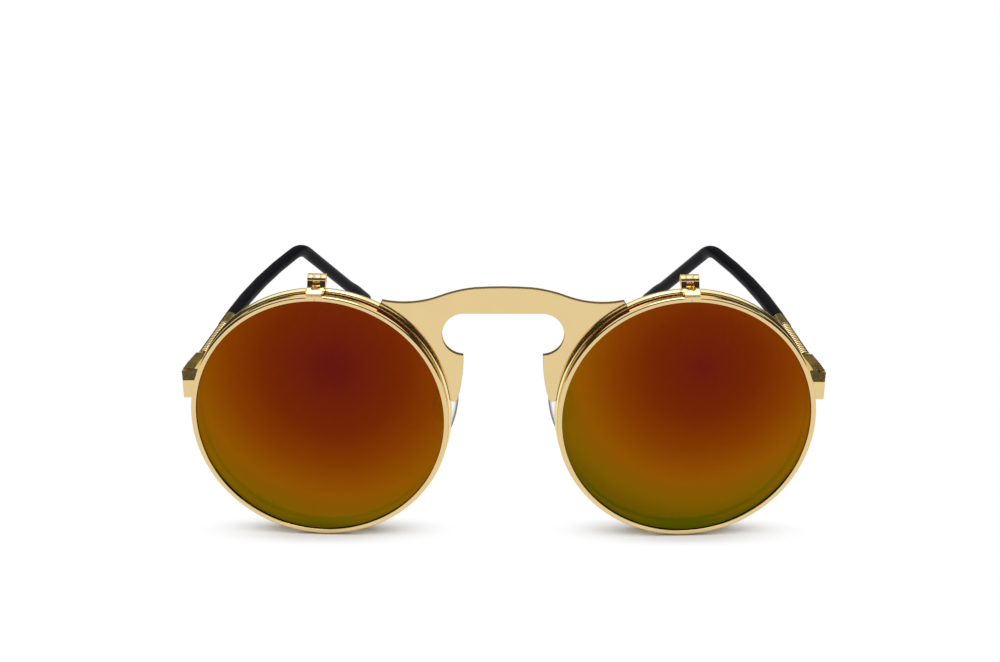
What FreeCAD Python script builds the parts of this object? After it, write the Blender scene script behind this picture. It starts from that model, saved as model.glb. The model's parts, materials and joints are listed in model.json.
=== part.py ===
import FreeCAD, Part
import math
import os
import re
import Sketcher
from FreeCAD import Placement, Rotation, Vector

# Round flip-up sunglasses, open and standing on their rims and temple tips.
# The wearer's left is +X, the front faces -Y and +Z is up from the floor.
# Depths are counted back from the front plane of the flip rings, heights from the lens centres.
# The left pieces are modelled, and each right piece is the mirror image of its left one.

SIZES = {
    # Layout of the front
    "lens_offset": 38.25,
    "wrap_angle": 2.6,
    "front_setback": 71.44,
    "flip_gap": 2.0,
    "cut_overrun": 2.0,
    # Flip ring, which holds the mirror lens
    "ring_step": 0.2,
    "ring_wall": 1.1,
    "ring_depth": 1.8,
    "ring_edge_round": 0.25,
    # Rim, which holds the clear lens
    "rim_outer_radius": 27.3,
    "rim_wall": 1.4,
    "rim_depth": 1.7,
    "rim_edge_round": 0.3,
    "seam_width": 0.2,
    # Lenses and the grooves that seat them
    "lens_thickness": 1.5,
    "lens_curve_radius": 330.0,
    "seat_shoulder": 0.2,
    "seat_depth": 0.45,
    "seat_half_width": 0.45,
    "seat_clearance": 0.05,
    # Bridge plate
    "plate_lead": 1.05,
    "plate_thickness": 1.2,
    "crest_reach": 5.8,
    "crest_height": 27.8,
    "crest_radius": 84.0,
    "shoulder_reach": 12.8,
    "shoulder_height": 26.1,
    "shoulder_radius": 27.5,
    "hollow_radius": 20.5,
    "horn_angle": 61.7,
    "horn_rise": 1.25,
    "plate_root": 3.0,
    "window_height": 17.8,
    "window_radius": 4.6,
    "lip_angle": 3.0,
    "leg_width": 1.5,
    "leg_height": 3.6,
    "leg_flare": 1.45,
    "leg_curve_radius": 34.0,
    # Flip hinge on top of each rim
    "barrel_radius": 1.15,
    "barrel_lift": 0.75,
    "centre_knuckle": 1.5,
    "outer_knuckle": 1.05,
    "knuckle_gap": 0.05,
    "flip_pin_radius": 0.4,
    "pin_clearance": 0.04,
    "post_thickness": 1.2,
    "bracket_width": 3.0,
    "bracket_rise": 0.9,
    "bracket_thickness": 0.8,
    "leaf_thickness": 0.75,
    "leaf_reach": 3.0,
    "slot_web": 0.5,
    # End piece and temple hinge
    "temple_height": 4.5,
    "hinge_offset": 0.65,
    "hinge_depth": 10.6,
    "hinge_height": 3.9,
    "hinge_barrel_radius": 1.0,
    "hinge_knuckle": 1.26,
    "hinge_gap": 0.05,
    "hinge_relief": 0.3,
    "joint_gap": 0.3,
    "end_width": 1.85,
    "end_corner": 0.3,
    "end_root": 0.6,
    "hinge_screw_radius": 0.5,
    "screw_head_radius": 0.8,
    "screw_head_height": 0.5,
    "screw_slot_width": 0.25,
    "screw_slot_depth": 0.2,
    # Temple, from the butt to the tip
    "temple_angle": 4.7,
    "butt_length": 12.1,
    "butt_thickness": 2.4,
    "taper_start": 4.5,
    "collar_margin": 0.05,
    "collar_length": 0.9,
    "core_radius": 0.8,
    "core_clearance": 0.1,
    "spring_wire_radius": 0.25,
    "spring_pitch": 0.95,
    "spring_turns": 17,
    "spring_lead": 0.6,
    "ferrule_length": 6.15,
    "ferrule_nose_margin": 0.1,
    "ferrule_nose_length": 0.6,
    "sleeve_radius": 1.6,
    "sleeve_straight": 1.9,
    "bow_length": 47.0,
    "bow_angle": 11.4,
    "bend_radius": 16.0,
    "dip_angle": 34.2,
    "tip_radius": 1.95,
    "tip_length": 8.0,
    "flare_length": 8.0,
    "core_end_margin": 6.0,
    # Nose pad and its arm
    "pad_offset": 1.45,
    "pad_depth": 11.0,
    "pad_drop": 3.0,
    "pad_splay": 30.0,
    "pad_tilt": 18.0,
    "pad_length": 13.4,
    "pad_width": 7.2,
    "pad_end_radius": 2.6,
    "pad_face_depth": 1.5,
    "pad_back_depth": 0.8,
    "pad_face_round": 1.1,
    "pad_back_round": 0.4,
    "lug_plate_length": 4.8,
    "lug_plate_width": 3.2,
    "lug_plate_thickness": 0.4,
    "lug_thickness": 0.8,
    "lug_radius": 0.65,
    "lug_reach": 1.1,
    "lug_clearance": 0.05,
    "box_wall": 0.5,
    "box_front_gap": 0.3,
    "box_back_gap": 0.15,
    "box_height": 1.8,
    "pad_screw_radius": 0.3,
    "pad_screw_head_radius": 0.5,
    "pad_screw_head": 0.35,
    "arm_radius": 0.45,
    "arm_height": 3.4,
    "arm_run": 3.2,
    "arm_rise": 4.2,
    "arm_bend_radius": 1.4,
}

LEFT_TURN = 1
RIGHT_TURN = -1
FULL_TURN = 360

doc = FreeCAD.newDocument("FlipUpSunglasses")
sheet = doc.addObject("Spreadsheet::Sheet", "Sizes")
for row, (alias, number) in enumerate(SIZES.items(), start=1):
    sheet.set("A%d" % row, alias)
    sheet.set("B%d" % row, str(number))
    sheet.setAlias("B%d" % row, alias)
doc.recompute()

# Places that several pieces share, in the named sizes

RIM_INNER = "(rim_outer_radius - rim_wall)"
RING_OUTER = "(rim_outer_radius - ring_step)"
RING_INNER = "(rim_outer_radius - ring_step - ring_wall)"
RING_SEAT = "(ring_depth - seat_shoulder - seat_half_width)"
RIM_FRONT = "(ring_depth + flip_gap)"
RIM_BACK = "(ring_depth + flip_gap + rim_depth)"
RIM_MIDDLE = "(ring_depth + flip_gap + rim_depth / 2)"
LEG_INNER = "(lens_offset - rim_outer_radius - leg_width)"
WINDOW_HALF_SPAN = "(lens_offset - rim_outer_radius - leg_width - leg_flare)"
BARREL_HEIGHT = "(rim_outer_radius + barrel_lift + barrel_radius)"
FORK_WIDTH = "(centre_knuckle + 2 * knuckle_gap + 2 * outer_knuckle)"
HINGE_REACH = "(lens_offset + rim_outer_radius + hinge_offset)"
HINGE_RELIEF = "(hinge_barrel_radius + hinge_relief)"
SPRING_MEAN = "(core_radius + core_clearance + spring_wire_radius)"
SPRING_OUTER = "(core_radius + core_clearance + 2 * spring_wire_radius)"
COLLAR_RADIUS = "(%s + collar_margin)" % SPRING_OUTER
SPRING_START = "butt_length"
SPRING_LENGTH = "(spring_turns * spring_pitch + 4 * spring_wire_radius + 2 * spring_lead)"
SPRING_END = "(butt_length + %s)" % SPRING_LENGTH
SLEEVE_START = "(%s + ferrule_length)" % SPRING_END
BOW_START = "(%s + sleeve_straight)" % SLEEVE_START
BEND_DROP = "bend_radius * (1 - cos(dip_angle))"
TAIL_LENGTH = (
    "((rim_outer_radius + temple_height - %s - tip_radius) / sin(dip_angle))" % BEND_DROP
)
PAD_SIDE_RADIUS = (
    "((pad_length ^ 2 / 4 + pad_width ^ 2 / 4 - pad_length * pad_end_radius)"
    " / (pad_width - 2 * pad_end_radius))"
)
LUG_AXIS = "(pad_back_depth + lug_plate_thickness + lug_reach)"
BOX_FRONT = "(pad_back_depth + lug_plate_thickness + box_front_gap)"
BOX_SLOT_END = "(%s + lug_radius + box_back_gap)" % LUG_AXIS
BOX_BACK = "(%s + box_wall)" % BOX_SLOT_END
BOX_HALF_SLOT = "(lug_thickness / 2 + lug_clearance)"
BOX_HALF_WIDTH = "(%s + box_wall)" % BOX_HALF_SLOT


def cells(text):
    """Expression in which each size's name points to its cell."""
    return re.sub(r"[a-z_]+", lambda word: "Sizes." + word[0] if word[0] in SIZES else word[0], text)


def size(text):
    """Present value of an expression in the named sizes."""
    return float(sheet.evalExpression(cells(text)))


def bind(thing, **fields):
    """Ties properties of a feature to expressions in the named sizes."""
    for field, text in fields.items():
        thing.setExpression(field, cells(text))


# Frames: each group of pieces is drawn in its own frame and placed by it


def eye_frame():
    """Lens centre on the flip ring's front plane, turned by the wrap."""
    base = Vector(size("lens_offset"), -size("front_setback"), size("rim_outer_radius"))
    return Placement(base, Rotation(Vector(0, 0, 1), size("wrap_angle")))


def front_frame():
    """Mid-plane of the front on the flip rings' front plane, at lens height."""
    return Placement(Vector(0, -size("front_setback"), size("rim_outer_radius")), Rotation())


def temple_frame():
    """Hinge axis, with +Y along the temple and +X to its outer side."""
    base = Vector(size(HINGE_REACH), size("hinge_depth"), size("temple_height"))
    return front_frame() * Placement(base, Rotation(Vector(0, 0, 1), size("temple_angle")))


def shaft_frame():
    """Centre line of the temple beside the hinge axis."""
    return temple_frame() * Placement(Vector(size("butt_thickness / 2"), 0, 0), Rotation())


def tail_frame():
    """Start of the straight tail behind the ear bend, with +Y towards the tip."""
    turn = Rotation(Vector(0, 0, 1), size("bow_angle")) * Rotation(Vector(1, 0, 0), -size("dip_angle"))
    return shaft_frame() * Placement(temple_stations()["tail"], turn)


def pad_frame():
    """Middle of the nose pad, with +X to the lens, +Y to the face and +Z up the pad."""
    base = Vector(size("lens_offset - rim_outer_radius + pad_offset"), size("pad_depth"), -size("pad_drop"))
    return front_frame() * Placement(base, Rotation(-size("pad_splay"), -size("pad_tilt"), 0))


# Drawing


def new_body(label, frame):
    """Body named as its piece and set in its frame."""
    body = doc.addObject("PartDesign::Body", label)
    body.Label = label
    body.Placement = frame
    return body


def new_sketch(body, role, offset=None):
    """Sketch on one of the body's own planes, or at an offset from it."""
    sketch = body.newObject("Sketcher::SketchObject", "Sketch")
    planes = [feature for feature in body.Origin.OriginFeatures if feature.Role == role]
    sketch.AttachmentSupport = (planes[0], [""])
    sketch.MapMode = "FlatFace"
    if offset is not None:
        sketch.setExpression("AttachmentOffset.Base.z", cells(offset))
    return sketch


def constrain(sketch, kind, place, text):
    """Dimension in a sketch tied to an expression in the named sizes."""
    number = sketch.addConstraint(Sketcher.Constraint(kind, *place, size(text)))
    sketch.setExpression("Constraints[%d]" % number, cells(text))


def constrain_point(sketch, geometry, end, spot):
    """Both coordinates of one end, or of a centre, from the sketch's origin."""
    origin = (-1, 1)
    constrain(sketch, "DistanceX", origin + (geometry, end), spot[0])
    constrain(sketch, "DistanceY", origin + (geometry, end), spot[1])


def arc_middle(start, end, radius, turn):
    """Middle point of the short arc between two points, its centre on the left or the right."""
    chord = end - start
    normal = Vector(-chord.y, chord.x, 0).normalize() * turn
    rise = math.sqrt(radius ** 2 - (chord.Length / 2) ** 2)
    return (start + end) / 2 + normal * (rise - radius)


def outline(body, role, corners, offset=None):
    """Closed outline. A corner with a radius and a turn starts an arc, any other a line."""
    sketch = new_sketch(body, role, offset)
    for number, corner in enumerate(corners):
        following = corners[(number + 1) % len(corners)]
        start = Vector(size(corner[0]), size(corner[1]), 0)
        end = Vector(size(following[0]), size(following[1]), 0)
        ends = (corner, following)
        if len(corner) == 2:
            sketch.addGeometry(Part.LineSegment(start, end), False)
        else:
            middle = arc_middle(start, end, size(corner[2]), corner[3])
            if corner[3] == RIGHT_TURN:
                start, end = end, start
                ends = (following, corner)
            sketch.addGeometry(Part.Arc(start, middle, end), False)
            constrain(sketch, "Radius", (number,), corner[2])
        constrain_point(sketch, number, 1, ends[0])
        constrain_point(sketch, number, 2, ends[1])
    return sketch


def rectangle(body, role, low, high, offset=None):
    """Upright rectangle between two corners."""
    corners = [low, (high[0], low[1]), high, (low[0], high[1])]
    return outline(body, role, corners, offset)


def circle(body, role, centre, radius, offset=None):
    """Circle round a centre."""
    sketch = new_sketch(body, role, offset)
    middle = Vector(size(centre[0]), size(centre[1]), 0)
    sketch.addGeometry(Part.Circle(middle, Vector(0, 0, 1), size(radius)), False)
    constrain(sketch, "Radius", (0,), radius)
    constrain_point(sketch, 0, 3, centre)
    return sketch


# Features


def pad(body, sketch, length, side="Symmetric", flip=False):
    """Solid pulled from a sketch, by default to both sides of it."""
    feature = body.newObject("PartDesign::Pad", "Pad")
    feature.Profile = sketch
    feature.SideType = side
    feature.Reversed = flip
    bind(feature, Length=length)
    doc.recompute()


def pocket(body, sketch, length=None, side="Symmetric"):
    """Cut along a sketch's normal, right through where no length is given."""
    before = body.Shape.Volume
    feature = body.newObject("PartDesign::Pocket", "Pocket")
    feature.Profile = sketch
    feature.SideType = side
    if length is None:
        feature.Type = "ThroughAll"
    else:
        bind(feature, Length=length)
    doc.recompute()
    if not body.Shape.Volume < before:
        raise RuntimeError("a cut in %s removes nothing" % body.Label)


def revolve(body, sketch):
    """Full turn of a sketch about its upright axis."""
    feature = body.newObject("PartDesign::Revolution", "Revolution")
    feature.Profile = sketch
    feature.ReferenceAxis = (sketch, ["V_Axis"])
    feature.Angle = FULL_TURN
    doc.recompute()


def round_edges(body, station, radius):
    """Fillet on the edges that lie at one station along the body's X axis."""
    solid = body.Tip
    close = Part.Precision.confusion()
    level = [edge.BoundBox.XLength < close and abs(edge.Vertexes[0].X - station) < close
             for edge in solid.Shape.Edges]
    feature = body.newObject("PartDesign::Fillet", "Fillet")
    feature.Base = (solid, ["Edge%d" % (number + 1) for number, here in enumerate(level) if here])
    bind(feature, Radius=radius)
    doc.recompute()


def combine(kind, label, base, tool):
    """Cut or union of two pieces, named as its piece."""
    feature = doc.addObject(kind, label)
    feature.Label = label
    feature.Base = base
    feature.Tool = tool
    doc.recompute()
    return feature


def path(label, edges, frame):
    """Wire that a tube follows, from edges drawn in a frame."""
    wire = Part.Wire(edges)
    feature = doc.addObject("Part::Feature", label)
    feature.Shape = wire
    feature.Placement = frame
    return feature


def tube(label, spine, radius):
    """Round bar swept along a path."""
    first = spine.Shape.Edges[0]
    section = doc.addObject("Part::Circle", label + "_section")
    bind(section, Radius=radius)
    start = first.valueAt(first.FirstParameter)
    heading = first.tangentAt(first.FirstParameter)
    section.Placement = Placement(start, Rotation(Vector(0, 0, 1), heading))
    sweep = doc.addObject("Part::Sweep", label)
    sweep.Label = label
    sweep.Sections = [section]
    sweep.Spine = (spine, ["Edge%d" % (number + 1) for number in range(len(spine.Shape.Edges))])
    sweep.Solid = True
    doc.recompute()
    return sweep


def bent_edges(points, radius):
    """Straight runs between points, with an arc of one radius at each corner."""
    edges = []
    start = points[0]
    for before, corner, after in zip(points, points[1:], points[2:]):
        back = (before - corner).normalize()
        ahead = (after - corner).normalize()
        half = back.getAngle(ahead) / 2
        trim = radius / math.tan(half)
        inward = (back + ahead).normalize()
        middle = corner + inward * (radius / math.sin(half) - radius)
        edges.append(Part.LineSegment(start, corner + back * trim).toShape())
        edges.append(Part.Arc(corner + back * trim, middle, corner + ahead * trim).toShape())
        start = corner + ahead * trim
    edges.append(Part.LineSegment(start, points[-1]).toShape())
    return edges


# Rims, flip rings and lenses


def ring(label, outer, inner, front, depth, edge, seat):
    """Eyewire with a rounded outside, a lens groove inside and a seam on top."""
    body = new_body(label, eye_frame())
    back = front + " + " + depth
    corners = [
        (inner, front),
        (outer + " - " + edge, front, edge, LEFT_TURN),
        (outer, front + " + " + edge),
        (outer, back + " - " + edge, edge, LEFT_TURN),
        (outer + " - " + edge, back),
        (inner, back),
        (inner, seat + " + seat_half_width"),
        (inner + " + seat_depth", seat),
        (inner, seat + " - seat_half_width"),
    ]
    revolve(body, outline(body, "XY_Plane", corners))
    low = ("-seam_width / 2", "0")
    high = ("seam_width / 2", outer + " + cut_overrun")
    pocket(body, rectangle(body, "XZ_Plane", low, high))
    return body


def lens(label, inner, seat):
    """Thin curved lens with a ridge round its edge."""
    body = new_body(label, eye_frame())
    edge = "(%s - seat_clearance)" % inner
    front = seat + " - lens_thickness / 2"
    back = seat + " + lens_thickness / 2"
    sag = "(lens_curve_radius - sqrt(lens_curve_radius ^ 2 - %s ^ 2))" % edge
    ridge = "(seat_half_width - seat_clearance)"
    corners = [
        ("0", front + " - " + sag, "lens_curve_radius", LEFT_TURN),
        (edge, front),
        (edge, seat + " - " + ridge),
        (inner + " + seat_depth - seat_clearance", seat),
        (edge, seat + " + " + ridge),
        (edge, back, "lens_curve_radius", RIGHT_TURN),
        ("0", back + " - " + sag),
    ]
    revolve(body, outline(body, "XY_Plane", corners))
    return body


def rim_envelope():
    """Outside of the rim, which trims what is soldered to it."""
    body = new_body("rim_envelope", eye_frame())
    depth = "2 * (%s + cut_overrun)" % RIM_BACK
    pad(body, circle(body, "XZ_Plane", ("0", "0"), "rim_outer_radius"), depth)
    return body


# Bridge plate


def bridge_plate(left_envelope, right_envelope):
    """Flat sheet with a crest, two horns, two legs and a wide window open to the nose."""
    body = new_body("bridge_sheet", front_frame())
    horn = "(rim_outer_radius + horn_rise)"
    root = "(rim_outer_radius - plate_root)"
    horn_across = "lens_offset - %s * cos(horn_angle)" % horn
    leg_round = "leg_width / 2"
    lip_across = WINDOW_HALF_SPAN + " + window_radius * sin(lip_angle)"
    half = [
        ("crest_reach", "crest_height", "shoulder_radius", RIGHT_TURN),
        ("shoulder_reach", "shoulder_height", "hollow_radius", LEFT_TURN),
        (horn_across, "%s * sin(horn_angle)" % horn),
        ("lens_offset - %s * cos(horn_angle)" % root, "%s * sin(horn_angle)" % root),
        ("lens_offset - " + root, "leg_height"),
        (LEG_INNER + " + leg_width", "leg_height", leg_round, RIGHT_TURN),
        (LEG_INNER + " + leg_width / 2", "leg_height - leg_width / 2", leg_round, RIGHT_TURN),
        (LEG_INNER, "leg_height", "leg_curve_radius", RIGHT_TURN),
        (lip_across, "window_height - window_radius * cos(lip_angle)", "window_radius", LEFT_TURN),
        (WINDOW_HALF_SPAN + " + window_radius", "window_height", "window_radius", LEFT_TURN),
        (WINDOW_HALF_SPAN, "window_height + window_radius"),
    ]
    other_half = []
    for number in reversed(range(len(half))):
        mirrored = ("-(%s)" % half[number][0], half[number][1])
        other_half.append(mirrored + half[number - 1][2:] if number else mirrored)
    other_half[-1] += ("crest_radius", RIGHT_TURN)
    sheet_outline = outline(body, "XZ_Plane", half + other_half, "plate_lead - " + RIM_FRONT)
    pad(body, sheet_outline, "plate_thickness", "One side", True)
    trimmed = combine("Part::Cut", "bridge_trimmed", body, left_envelope)
    return combine("Part::Cut", "bridge_plate", trimmed, right_envelope)


# Flip hinge


def flip_post():
    """Centre knuckle of the flip hinge on its post, which stands on the rim."""
    body = new_body("left_flip_post", eye_frame())
    low = (RIM_MIDDLE + " - post_thickness / 2", "rim_outer_radius - barrel_lift")
    high = (RIM_MIDDLE + " + post_thickness / 2", BARREL_HEIGHT)
    pad(body, rectangle(body, "YZ_Plane", low, high), "centre_knuckle")
    barrel = (RIM_MIDDLE, BARREL_HEIGHT)
    pad(body, circle(body, "YZ_Plane", barrel, "barrel_radius"), "centre_knuckle")
    pocket(body, circle(body, "XZ_Plane", ("0", "0"), "rim_outer_radius"))
    pocket(body, circle(body, "YZ_Plane", barrel, "flip_pin_radius"))
    return body


def flip_bracket():
    """Bent leaf on the flip ring, forked round the post and rolled into two knuckles."""
    body = new_body("left_flip_bracket", eye_frame())
    top = "(%s + bracket_rise)" % RING_OUTER
    low = ("0", RING_OUTER + " - bracket_thickness")
    high = ("bracket_thickness", top)
    pad(body, rectangle(body, "YZ_Plane", low, high), "bracket_width")
    leaf = [
        ("0", top + " - leaf_thickness"),
        ("leaf_reach", top + " - leaf_thickness"),
        (RIM_MIDDLE, BARREL_HEIGHT + " - barrel_radius"),
        (RIM_MIDDLE, BARREL_HEIGHT),
        (RIM_MIDDLE + " - barrel_radius", BARREL_HEIGHT),
        ("leaf_reach", top),
        ("0", top),
    ]
    pad(body, outline(body, "YZ_Plane", leaf), FORK_WIDTH)
    barrel = (RIM_MIDDLE, BARREL_HEIGHT)
    pad(body, circle(body, "YZ_Plane", barrel, "barrel_radius"), FORK_WIDTH)
    half_slot = "centre_knuckle / 2 + knuckle_gap"
    low = ("-(%s)" % half_slot, "bracket_thickness + slot_web")
    high = (half_slot, RIM_MIDDLE + " + barrel_radius + cut_overrun")
    pocket(body, rectangle(body, "XY_Plane", low, high))
    pocket(body, circle(body, "YZ_Plane", barrel, "flip_pin_radius + pin_clearance"))
    pocket(body, circle(body, "XZ_Plane", ("0", "0"), RING_OUTER))
    return body


def flip_pin():
    """Pin fixed in the centre knuckle, on which the outer knuckles turn."""
    body = new_body("left_flip_pin", eye_frame())
    barrel = (RIM_MIDDLE, BARREL_HEIGHT)
    pad(body, circle(body, "YZ_Plane", barrel, "flip_pin_radius"), FORK_WIDTH)
    return body


# Temple hinge


def end_piece(envelope):
    """Lug soldered to the rim's outer side, flaring back to the two fixed hinge knuckles."""
    frame = front_frame() * Placement(Vector(0, 0, size("temple_height")), Rotation())
    body = new_body("end_block", frame)
    front = "%s + rim_outer_radius * sin(wrap_angle)" % RIM_FRONT
    side = "lens_offset + rim_outer_radius + end_width"
    root = "lens_offset + rim_outer_radius - end_root"
    joint = "hinge_depth - joint_gap / 2"
    corners = [
        (root, front),
        (side + " - end_corner", front, "end_corner", LEFT_TURN),
        (side, front + " + end_corner"),
        (HINGE_REACH + " + butt_thickness", joint),
        (HINGE_REACH + " - hinge_barrel_radius", joint),
        (root, front + " + rim_depth"),
    ]
    pad(body, outline(body, "XY_Plane", corners), "hinge_height")
    axis = (HINGE_REACH, "hinge_depth")
    pad(body, circle(body, "XY_Plane", axis, "hinge_barrel_radius"), "hinge_height")
    low = (HINGE_REACH + " - hinge_barrel_radius - cut_overrun", "hinge_depth - " + HINGE_RELIEF)
    high = (HINGE_REACH + " + " + HINGE_RELIEF, "hinge_depth + hinge_barrel_radius + cut_overrun")
    pocket(body, rectangle(body, "XY_Plane", low, high), "hinge_knuckle + 2 * hinge_gap")
    pocket(body, circle(body, "XY_Plane", axis, "hinge_screw_radius"))
    head = circle(body, "XY_Plane", axis, "screw_head_radius", "hinge_height / 2")
    pocket(body, head, "screw_head_height", "One side")
    return combine("Part::Cut", "left_end_piece", body, envelope)


def hinge_screw():
    """Slotted screw that pins the temple, its head sunk in the upper knuckle."""
    axis = Vector(size(HINGE_REACH), size("hinge_depth"), size("temple_height"))
    body = new_body("left_hinge_screw", front_frame() * Placement(axis, Rotation()))
    corners = [
        ("0", "-hinge_height / 2"),
        ("hinge_screw_radius", "-hinge_height / 2"),
        ("hinge_screw_radius", "hinge_height / 2 - screw_head_height"),
        ("screw_head_radius", "hinge_height / 2 - screw_head_height"),
        ("screw_head_radius", "hinge_height / 2"),
        ("0", "hinge_height / 2"),
    ]
    revolve(body, outline(body, "XZ_Plane", corners))
    low = ("-screw_head_radius - cut_overrun", "-screw_slot_width / 2")
    high = ("screw_head_radius + cut_overrun", "screw_slot_width / 2")
    slot = rectangle(body, "XY_Plane", low, high, "hinge_height / 2")
    pocket(body, slot, "screw_slot_depth", "One side")
    return body


def temple_butt():
    """Bar behind the hinge, relieved round the knuckles and tapered to the spring's collar."""
    body = new_body("left_temple_butt", temple_frame())
    bar_end = "butt_length - collar_length"
    plan = [
        (HINGE_RELIEF, "joint_gap / 2"),
        ("butt_thickness", "joint_gap / 2"),
        ("butt_thickness", bar_end),
        ("0", bar_end),
        ("0", HINGE_RELIEF),
        (HINGE_RELIEF, HINGE_RELIEF),
    ]
    pad(body, outline(body, "XY_Plane", plan), "hinge_height")
    for up in ("", "-"):
        wedge = [
            ("taper_start", up + "hinge_height / 2"),
            (bar_end, up + COLLAR_RADIUS),
            (bar_end, up + "(hinge_height / 2 + cut_overrun)"),
            ("taper_start", up + "(hinge_height / 2 + cut_overrun)"),
        ]
        pocket(body, outline(body, "YZ_Plane", wedge))
    pad(body, circle(body, "XY_Plane", ("0", "0"), "hinge_barrel_radius"), "hinge_knuckle")
    web = rectangle(body, "XY_Plane", ("0", "0"), (HINGE_RELIEF, HINGE_RELIEF))
    pad(body, web, "hinge_knuckle")
    collar = circle(body, "XZ_Plane", ("butt_thickness / 2", "0"), COLLAR_RADIUS, "-(%s)" % bar_end)
    pad(body, collar, "collar_length", "One side", True)
    pocket(body, circle(body, "XY_Plane", ("0", "0"), "hinge_screw_radius + pin_clearance"))
    return body


# Temple


def temple_stations():
    """Ends of the bow, the ear bend and the tail in the shaft's frame."""
    bow = math.radians(size("bow_angle"))
    dip = math.radians(size("dip_angle"))
    bow_radius = size("bow_length") / bow
    bow_start = Vector(0, size(BOW_START), 0)
    along = Vector(-math.sin(bow), math.cos(bow), 0)

    def on_bow(turn):
        return bow_start + Vector(math.cos(turn) - 1, math.sin(turn), 0) * bow_radius

    def on_bend(turn):
        drop = Vector(0, 0, math.cos(turn) - 1)
        return on_bow(bow) + (along * math.sin(turn) + drop) * size("bend_radius")

    tail_heading = along * math.cos(dip) - Vector(0, 0, math.sin(dip))
    return {
        "bow": [bow_start, on_bow(bow / 2), on_bow(bow)],
        "bend": [on_bow(bow), on_bend(dip / 2), on_bend(dip)],
        "tail": on_bend(dip),
        "tail_heading": tail_heading,
    }


def temple_edges(start, tail_run):
    """Shaft, bow, ear bend and the first length of the tail, from a station on the shaft."""
    stations = temple_stations()
    edges = [
        Part.LineSegment(Vector(0, start, 0), stations["bow"][0]).toShape(),
        Part.Arc(*stations["bow"]).toShape(),
        Part.Arc(*stations["bend"]).toShape(),
    ]
    if tail_run:
        end = stations["tail"] + stations["tail_heading"] * tail_run
        edges.append(Part.LineSegment(stations["tail"], end).toShape())
    return edges


def temple_core():
    """Wire from the butt through the spring and the ferrule to the tail."""
    end = size(TAIL_LENGTH + " - core_end_margin - core_clearance")
    spine = path("core_path", temple_edges(size(SPRING_START), end), shaft_frame())
    return tube("left_temple_core", spine, "core_radius")


def ferrule():
    """Tube between the spring and the sleeve, with a tapered nose."""
    body = new_body("left_ferrule", shaft_frame())
    bore = "core_radius + core_clearance"
    corners = [
        (bore, SPRING_END),
        (SPRING_OUTER + " + ferrule_nose_margin", SPRING_END),
        ("sleeve_radius", SPRING_END + " + ferrule_nose_length"),
        ("sleeve_radius", SLEEVE_START),
        (bore, SLEEVE_START),
    ]
    revolve(body, outline(body, "XY_Plane", corners))
    return body


def sleeve():
    """Plastic tube over the wire, bent down behind the ear and swollen at the tip."""
    shaft = tube("sleeve_shaft", path("sleeve_path", temple_edges(size(SLEEVE_START), 0), shaft_frame()),
                 "sleeve_radius")
    tail = new_body("sleeve_tail", tail_frame())
    swell = "(tip_radius - sleeve_radius)"
    flare_radius = "(flare_length ^ 2 + %s ^ 2) / (4 * %s)" % (swell, swell)
    corners = [
        ("0", "0"),
        ("sleeve_radius", "0"),
        ("sleeve_radius", TAIL_LENGTH + " - tip_length - flare_length", flare_radius, RIGHT_TURN),
        ("sleeve_radius + %s / 2" % swell, TAIL_LENGTH + " - tip_length - flare_length / 2",
         flare_radius, LEFT_TURN),
        ("tip_radius", TAIL_LENGTH + " - tip_length"),
        ("tip_radius", TAIL_LENGTH, "tip_radius", LEFT_TURN),
        ("0", TAIL_LENGTH + " + tip_radius"),
    ]
    revolve(tail, outline(tail, "XY_Plane", corners))
    whole = combine("Part::Fuse", "sleeve_whole", shaft, tail)
    bore_end = size(TAIL_LENGTH + " - core_end_margin")
    bore_path = path("bore_path", temple_edges(size(SLEEVE_START), bore_end), shaft_frame())
    bore = tube("sleeve_bore", bore_path, "core_radius + core_clearance")
    return combine("Part::Cut", "left_sleeve", whole, bore)


def biarc(start, start_heading, end, end_heading):
    """Two arcs that join two points with the given headings."""
    chord = end - start
    both = start_heading + end_heading
    spread = 2 * (1 - start_heading.dot(end_heading))
    reach = math.sqrt(chord.dot(both) ** 2 + spread * chord.dot(chord)) - chord.dot(both)
    reach = reach / spread
    first = start + start_heading * reach
    second = end - end_heading * reach
    joint = (first + second) / 2
    pairs = ((start, start_heading, joint), (joint, second - first, end))
    return [Part.Arc(near, arc_crown(near, heading, far), far).toShape() for near, heading, far in pairs]


def arc_crown(start, heading, end):
    """Middle point of the arc that leaves a point along a heading and ends at another."""
    chord = end - start
    along = Vector(heading).normalize()
    half_angle = along.getAngle(chord)
    bulge = (along - chord * (along.dot(chord) / chord.dot(chord))).normalize()
    return (start + end) / 2 + bulge * (chord.Length / 2 * math.tan(half_angle / 2))


def spring_edges():
    """Straight end, lead-in, half turns of the coil, lead-out and straight end."""
    mean = size(SPRING_MEAN)
    pitch = size("spring_pitch")
    lead = size("spring_lead")
    straight = 2 * size("spring_wire_radius")
    coil_start = size(SPRING_START) + straight + lead
    lead_turn = lead / mean
    slope = pitch / (2 * math.pi * mean)

    def spot(turn, station):
        return Vector(mean * math.cos(turn), station, mean * math.sin(turn))

    def heading(turn):
        return Vector(-math.sin(turn), slope, math.cos(turn)).normalize()

    halves = int(round(2 * size("spring_turns")))
    turns = [(spot(number * math.pi, coil_start + number * pitch / 2), heading(number * math.pi))
             for number in range(halves + 1)]
    along = Vector(0, 1, 0)
    last_turn = halves * math.pi + lead_turn
    foot = spot(-lead_turn, size(SPRING_START) + straight)
    head = spot(last_turn, size(SPRING_END) - straight)
    ends = [(foot, along)] + turns + [(head, along)]
    edges = [Part.LineSegment(foot - along * straight, foot).toShape()]
    for near, far in zip(ends, ends[1:]):
        edges += biarc(near[0], near[1], far[0], far[1])
    edges.append(Part.LineSegment(head, head + along * straight).toShape())
    return edges


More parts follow.
